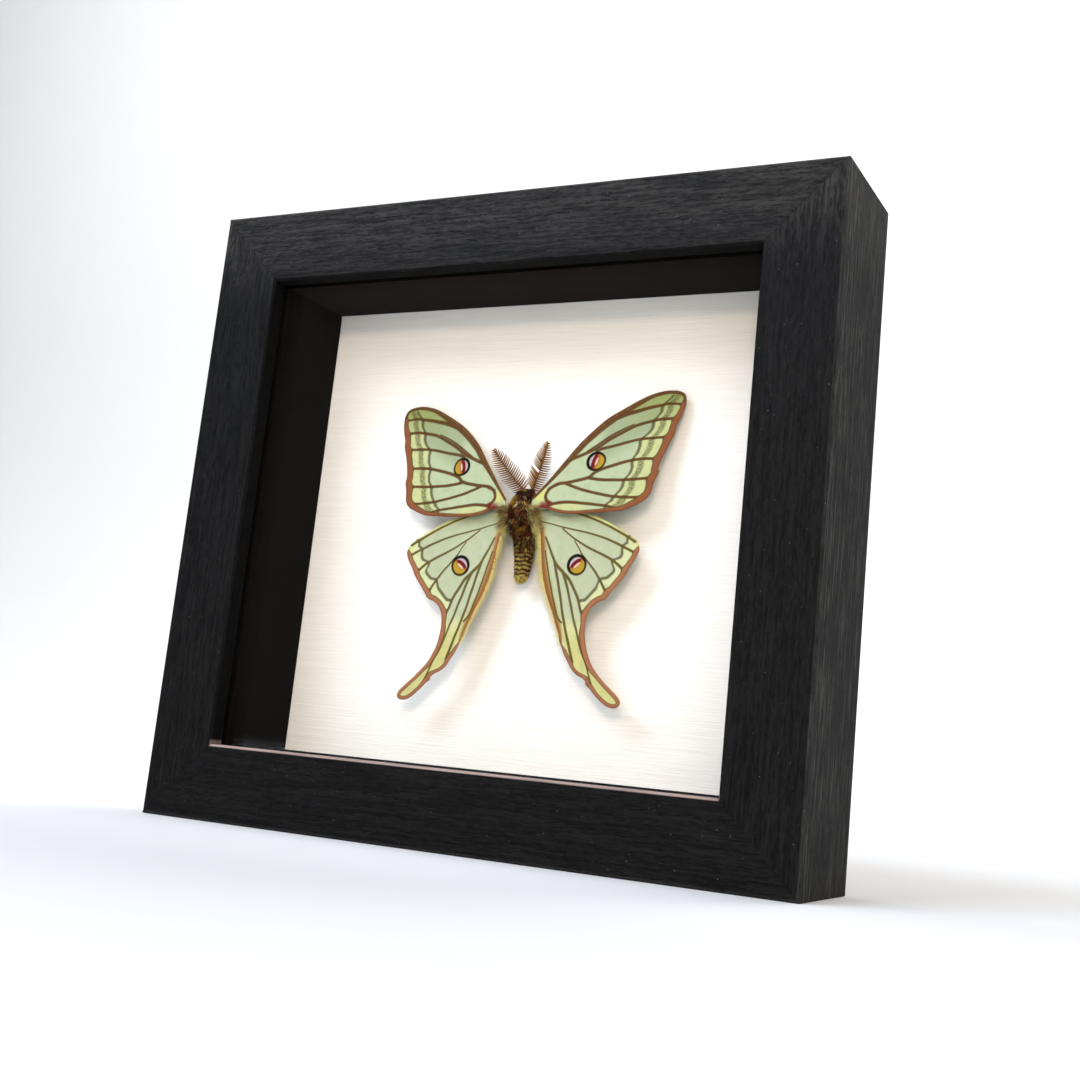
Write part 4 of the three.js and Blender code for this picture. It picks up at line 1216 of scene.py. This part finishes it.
def build_antenna(look, draw, hand):
    """A feathered antenna: a tapered, slightly bowed shaft and a comb of fine teeth on both sides."""
    side = HANDS[hand]
    base = np.array((BODY_SHIFT + side * ANTENNA_BASE[0], *ANTENNA_BASE[1:]))
    tip_u, tip_v, tip_h = ANTENNA_TIPS[hand]
    tip = np.array((BODY_SHIFT + side * tip_u, tip_v, tip_h))
    forward = unit(tip - base)
    across = unit(np.cross(forward, (0.0, 0.0, 1.0)))
    face = np.cross(across, forward)
    bow = across * side * 0.35
    start = base - forward * 0.9

    def shaft_at(t):
        t = np.asarray(t)[..., None]
        return start + (tip - start) * t + bow * np.sin(math.pi * t)

    shell = Shell()
    steps = np.linspace(0, 1, 30)
    points, faces = tube(shaft_at(steps), 0.2 - 0.13 * steps, 10)
    brown = np.array((*look.shaft, 1.0))
    shell.add(points, faces, along=np.ones(len(points)), tint=np.tile(brown, (len(points), 1)))
    t = np.linspace(0.10, 0.985, look.teeth)
    for flank in (-1, 1):
        torn = (hand, flank) == TORN_FLANK
        keep = t[np.abs(t - TORN_AT) >= TORN_HALF] if torn else t
        lean = np.radians(84 - 18 * keep + draw.normal(0, 1.5, len(keep)))
        if torn:
            lean -= np.radians(9) * ease(0.5 - keep, 0.05, 0.3)
        reach = across * flank
        way = reach * np.sin(lean)[:, None] + forward * np.cos(lean)[:, None] + face * 0.12
        profile = np.interp(keep, (0.0, 0.12, 0.35, 0.7, 0.9, 1.0), (0.62, 0.86, 1.0, 0.84, 0.46, 0.2))
        length = look.longest / MM * profile * draw.uniform(0.96, 1.04, len(keep))
        bend = forward * 0.16 - face * 0.06 + draw.normal(0, 0.012, (len(keep), 3))
        tint = np.tile(np.array(look.comb), (len(keep), 1)) * draw.uniform(0.75, 1.2, (len(keep), 1))
        tooth = look.tooth / MM
        add_hairs(shell, shaft_at(keep), way, length, bend, tooth, tint, sides=5, rings=6, taper=0.5)
        small = np.repeat(np.arange(len(keep)), look.bristles)
        share_out = np.tile(np.linspace(0.22, 0.94, look.bristles), len(keep))
        at = shaft_at(keep)[small] + way[small] * (length[small] * share_out)[:, None]
        at += bend[small] * (length[small] * share_out**2)[:, None]
        fore_and_aft = np.where(np.arange(len(small)) % 2, 1.0, -1.0)[:, None]
        way = fore_and_aft * forward * 0.6 + reach * 0.5 + face * 0.2
        fine = np.tile(np.array(look.comb), (len(small), 1)) * 1.1
        straight = np.zeros((len(small), 3))
        add_hairs(shell, at, way, look.bristle / MM, straight, look.bristle_thin / MM, fine, rings=1)
    return shell


def build_eyes():
    """Both round eyes."""
    shell = Shell()
    rows = np.linspace(-math.pi / 2 + 0.05, math.pi / 2 - 0.05, 14)
    u, v, h = EYE_AT
    for side in HANDS.values():
        path = [(BODY_SHIFT + side * u, v + EYE_RADIUS * math.sin(b), h) for b in rows]
        shell.add(*tube(path, EYE_RADIUS * np.cos(rows), 20))
    return shell


class MOTH_OT_rails(bpy.types.Operator):
    """Stain the four lengths of moulding and ease their edges"""

    bl_idname = "moth.rails"
    bl_label = "Finish Rails"

    def execute(self, context):
        look = context.scene.moth_frame
        level = stained_wood(look, "stained_wood_level", "X")
        upright = stained_wood(look, "stained_wood_upright", "Z")
        for side in SIDES:
            rail = give(f"rail_{side}", level if side in ("top", "bottom") else upright)
            ease_edges(rail, look.eased, 3, 25)
        return {"FINISHED"}


class MOTH_OT_filler(bpy.types.Operator):
    """Fill the open line of each mitre with stained filler, a hair below the face"""

    bl_idname = "moth.filler"
    bl_label = "Fill Mitres"

    def execute(self, context):
        look = context.scene.moth_frame
        wood = bpy.data.materials["stained_wood_upright"]
        depths = (FRAME_FRONT * MM + look.sunk, (FRAME_FRONT + FILLER_DEEP) * MM)
        faces = [(0, 1, 3, 2), (4, 6, 7, 5), (0, 4, 5, 1), (1, 5, 7, 3), (3, 7, 6, 2), (2, 6, 4, 0)]
        for name, x, z in MITRES:
            corner = Vector((x * FRAME_HALF, 0.0, FRAME_TOP if z > 0 else 0.0)) * MM
            along = Vector((-x, 0.0, -z)).normalized() * MM
            across = Vector((z, 0.0, -x)).normalized() * look.filler / 2
            middles = [corner + along * reach for reach in (FILLER_FROM, FILLER_TO)]
            ends = [middle + across * k for middle in middles for k in (1, -1)]
            points = [(end.x, y, end.z) for y in depths for end in ends]
            title = f"mitre_filler_{name}"
            made = new_object(title, new_mesh(title, points, faces, wood))
            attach(made, "root")
        return {"FINISHED"}


class MOTH_OT_liner(bpy.types.Operator):
    """Finish the four black strips behind the glass"""

    bl_idname = "moth.liner"
    bl_label = "Finish Liner"

    def execute(self, context):
        finish = liner_finish(context.scene.moth_frame)
        for side in SIDES:
            give(f"spacer_{side}", finish)
        return {"FINISHED"}


class MOTH_OT_glass(bpy.types.Operator):
    """Make the pane clear"""

    bl_idname = "moth.glass"
    bl_label = "Finish Glass"

    def execute(self, context):
        give("glass", clear_glass())
        return {"FINISHED"}


class MOTH_OT_card(bpy.types.Operator):
    """Finish the mount card behind the moth"""

    bl_idname = "moth.card"
    bl_label = "Finish Card"

    def execute(self, context):
        give("card", linen_card(context.scene.moth_frame))
        return {"FINISHED"}


class MOTH_OT_backing(bpy.types.Operator):
    """Finish the backing board"""

    bl_idname = "moth.backing"
    bl_label = "Finish Backing Board"

    def execute(self, context):
        give("backing_board", fibreboard(context.scene.moth_frame))
        return {"FINISHED"}


class MOTH_OT_steel(bpy.types.Operator):
    """Finish the eight points that hold the backing board, and the pin"""

    bl_idname = "moth.steel"
    bl_label = "Finish Points and Pin"

    def execute(self, context):
        finish = worn_metal("zinc_steel", context.scene.moth_frame.steel, 0.34)
        for side in SIDES:
            for end in (1, 2):
                give(f"point_{side}_{end}", finish)
        give("pin", finish)
        return {"FINISHED"}


class MOTH_OT_hanger(bpy.types.Operator):
    """Finish the hanger and its two nails"""

    bl_idname = "moth.hanger"
    bl_label = "Finish Hanger"

    def execute(self, context):
        look = context.scene.moth_frame
        finish = worn_metal("plated_brass", look.brass, 0.3)
        for node in ("hanger", "nail_left", "nail_right"):
            ease_edges(give(node, finish), look.pressed, 2, 30)
        return {"FINISHED"}


class MOTH_OT_wings(bpy.types.Operator):
    """Build the four wings with their veins and markings"""

    bl_idname = "moth.wings"
    bl_label = "Build Wings"

    def execute(self, context):
        look = context.scene.moth_wings
        finish = wing_finish(look)
        for hand in HANDS:
            for kind in ("hindwing", "forewing"):
                wing = f"{kind}_{hand}"
                build_wing(look, kind, hand).piece(f"{wing}_scaled", finish, "wing", (wing,))
        return {"FINISHED"}


class MOTH_OT_skin(bpy.types.Operator):
    """Build the bare body and its legs"""

    bl_idname = "moth.skin"
    bl_label = "Build Body"

    def execute(self, context):
        body_skin().piece("body_skin", skin_finish(context.scene.moth_fur), "fur", ("body",))
        return {"FINISHED"}


class MOTH_OT_fur(bpy.types.Operator):
    """Grow the fur of the body and the fringe of the hindwings"""

    bl_idname = "moth.fur"
    bl_label = "Grow Fur"

    def execute(self, context):
        look = context.scene.moth_fur
        draw = np.random.default_rng(FUR_SEED)
        fur = hair_finish("moth_fur")
        thorax_fur(look, draw).piece("thorax_fur", fur, "fur")
        abdomen_fur(look, draw).piece("abdomen_fur", fur, "fur")
        fringe = hair_finish("wing_fringe", 0.6, 0.12)
        for hand, side in HANDS.items():
            hind_fringe(look, draw, side).piece(f"hindwing_fringe_{hand}", fringe, "wing")
        return {"FINISHED"}


class MOTH_OT_eyes(bpy.types.Operator):
    """Build the two eyes"""

    bl_idname = "moth.eyes"
    bl_label = "Build Eyes"

    def execute(self, context):
        build_eyes().piece("eyes", eye_finish(context.scene.moth_fur), "fur")
        return {"FINISHED"}


class MOTH_OT_antennae(bpy.types.Operator):
    """Build the two feathered antennae"""

    bl_idname = "moth.antennae"
    bl_label = "Build Antennae"

    def execute(self, context):
        look = context.scene.moth_antennae
        draw = np.random.default_rng(COMB_SEED)
        finish = hair_finish("antenna_comb", 0.6, 0.25)
        for hand in HANDS:
            shell = build_antenna(look, draw, hand)
            shell.piece(f"antenna_{hand}_comb", finish, "plume", (f"antenna_{hand}",))
        return {"FINISHED"}


class MOTH_OT_stage(bpy.types.Operator):
    """Set out the seamless floor, the lights and the camera"""

    bl_idname = "moth.stage"
    bl_label = "Set Stage"

    def execute(self, context):
        look = context.scene.moth_stage
        self.floor(look)
        for name, light in LIGHTS.items():
            self.light(name, getattr(look, name), *light)
        world = bpy.data.worlds.new("room_light")
        world.use_nodes = True
        sky = world.node_tree.nodes["Background"]
        sky.inputs["Color"].default_value = (*SKY_TINT, 1.0)
        sky.inputs["Strength"].default_value = look.sky
        context.scene.world = world
        context.scene.view_settings.view_transform = "Standard"
        self.camera(context, look)
        return {"FINISHED"}

    @staticmethod
    def floor(look):
        finish = Finish("pale_floor", specular_ior_level=0.2)
        place = finish.place()
        soft = finish.noise(place, 0.01, 2.0)
        finish.put("Base Color", finish.mix(times(look.floor, 0.97), look.floor, soft))
        finish.put("Roughness", 0.8 + 0.1 * soft)
        profile = [(FLOOR_FRONT, 0.0)]
        for a in np.linspace(0, math.pi / 2, 24):
            profile.append((FLOOR_BACK + FLOOR_BEND * math.sin(a), FLOOR_BEND * (1 - math.cos(a))))
        profile.append((FLOOR_BACK + FLOOR_BEND, FLOOR_TOP))
        points = [(x, y, z - FLOOR_GAP) for y, z in profile for x in (-FLOOR_HALF, FLOOR_HALF)]
        faces = [(2 * k, 2 * k + 1, 2 * k + 3, 2 * k + 2) for k in range(len(profile) - 1)]
        mesh = new_mesh("floor", points, faces, finish.material)
        mesh.polygons.foreach_set("use_smooth", [True] * len(mesh.polygons))
        new_object("floor", mesh)

    @staticmethod
    def light(name, watts, place, aim, wide, tint):
        lamp = bpy.data.lights.new(name, "AREA")
        lamp.energy = watts
        lamp.size = wide
        lamp.color = tint
        made = new_object(name, lamp)
        made.location = place
        made.rotation_mode = "QUATERNION"
        made.rotation_quaternion = (Vector(aim) - Vector(place)).to_track_quat("-Z", "Y")

    @staticmethod
    def camera(context, look):
        lens = bpy.data.cameras.new("camera")
        lens.sensor_width = CAMERA_SENSOR
        lens.lens = look.lens
        lens.shift_x, lens.shift_y = CAMERA_SHIFT
        lens.clip_start = CAMERA_NEAR
        made = new_object("camera", lens)
        turn = Matrix((CAMERA_RIGHT, CAMERA_UP, CAMERA_BACK)).transposed().to_4x4()
        made.matrix_world = Matrix.Translation(look.place) @ turn
        context.scene.camera = made


LOOKS = {
    "moth_frame": FrameLook,
    "moth_wings": WingLook,
    "moth_fur": FurLook,
    "moth_antennae": AntennaLook,
    "moth_stage": StageLook,
}
OPERATORS = (
    MOTH_OT_stage,
    MOTH_OT_rails,
    MOTH_OT_filler,
    MOTH_OT_liner,
    MOTH_OT_glass,
    MOTH_OT_card,
    MOTH_OT_backing,
    MOTH_OT_steel,
    MOTH_OT_hanger,
    MOTH_OT_wings,
    MOTH_OT_skin,
    MOTH_OT_fur,
    MOTH_OT_eyes,
    MOTH_OT_antennae,
)


class MOTH_PT_panel(bpy.types.Panel):
    """Lists the steps that finish the frame and build the moth"""

    bl_idname = "MOTH_PT_panel"
    bl_label = "Framed Moon Moth"
    bl_space_type = "VIEW_3D"
    bl_region_type = "UI"
    bl_category = "Moth"

    def draw(self, context):
        for kind in OPERATORS:
            self.layout.operator(kind.bl_idname)


def register():
    for kind in (*LOOKS.values(), *OPERATORS, MOTH_PT_panel):
        bpy.utils.register_class(kind)
    for name, kind in LOOKS.items():
        setattr(bpy.types.Scene, name, PointerProperty(type=kind))


def unregister():
    for name in LOOKS:
        delattr(bpy.types.Scene, name)
    for kind in reversed((*LOOKS.values(), *OPERATORS, MOTH_PT_panel)):
        bpy.utils.unregister_class(kind)


def main():
    register()
    for kind in OPERATORS:
        group, step = kind.bl_idname.split(".")
        getattr(getattr(bpy.ops, group), step)()
    bpy.context.view_layer.update()


if __name__ == "__main__":
    main()
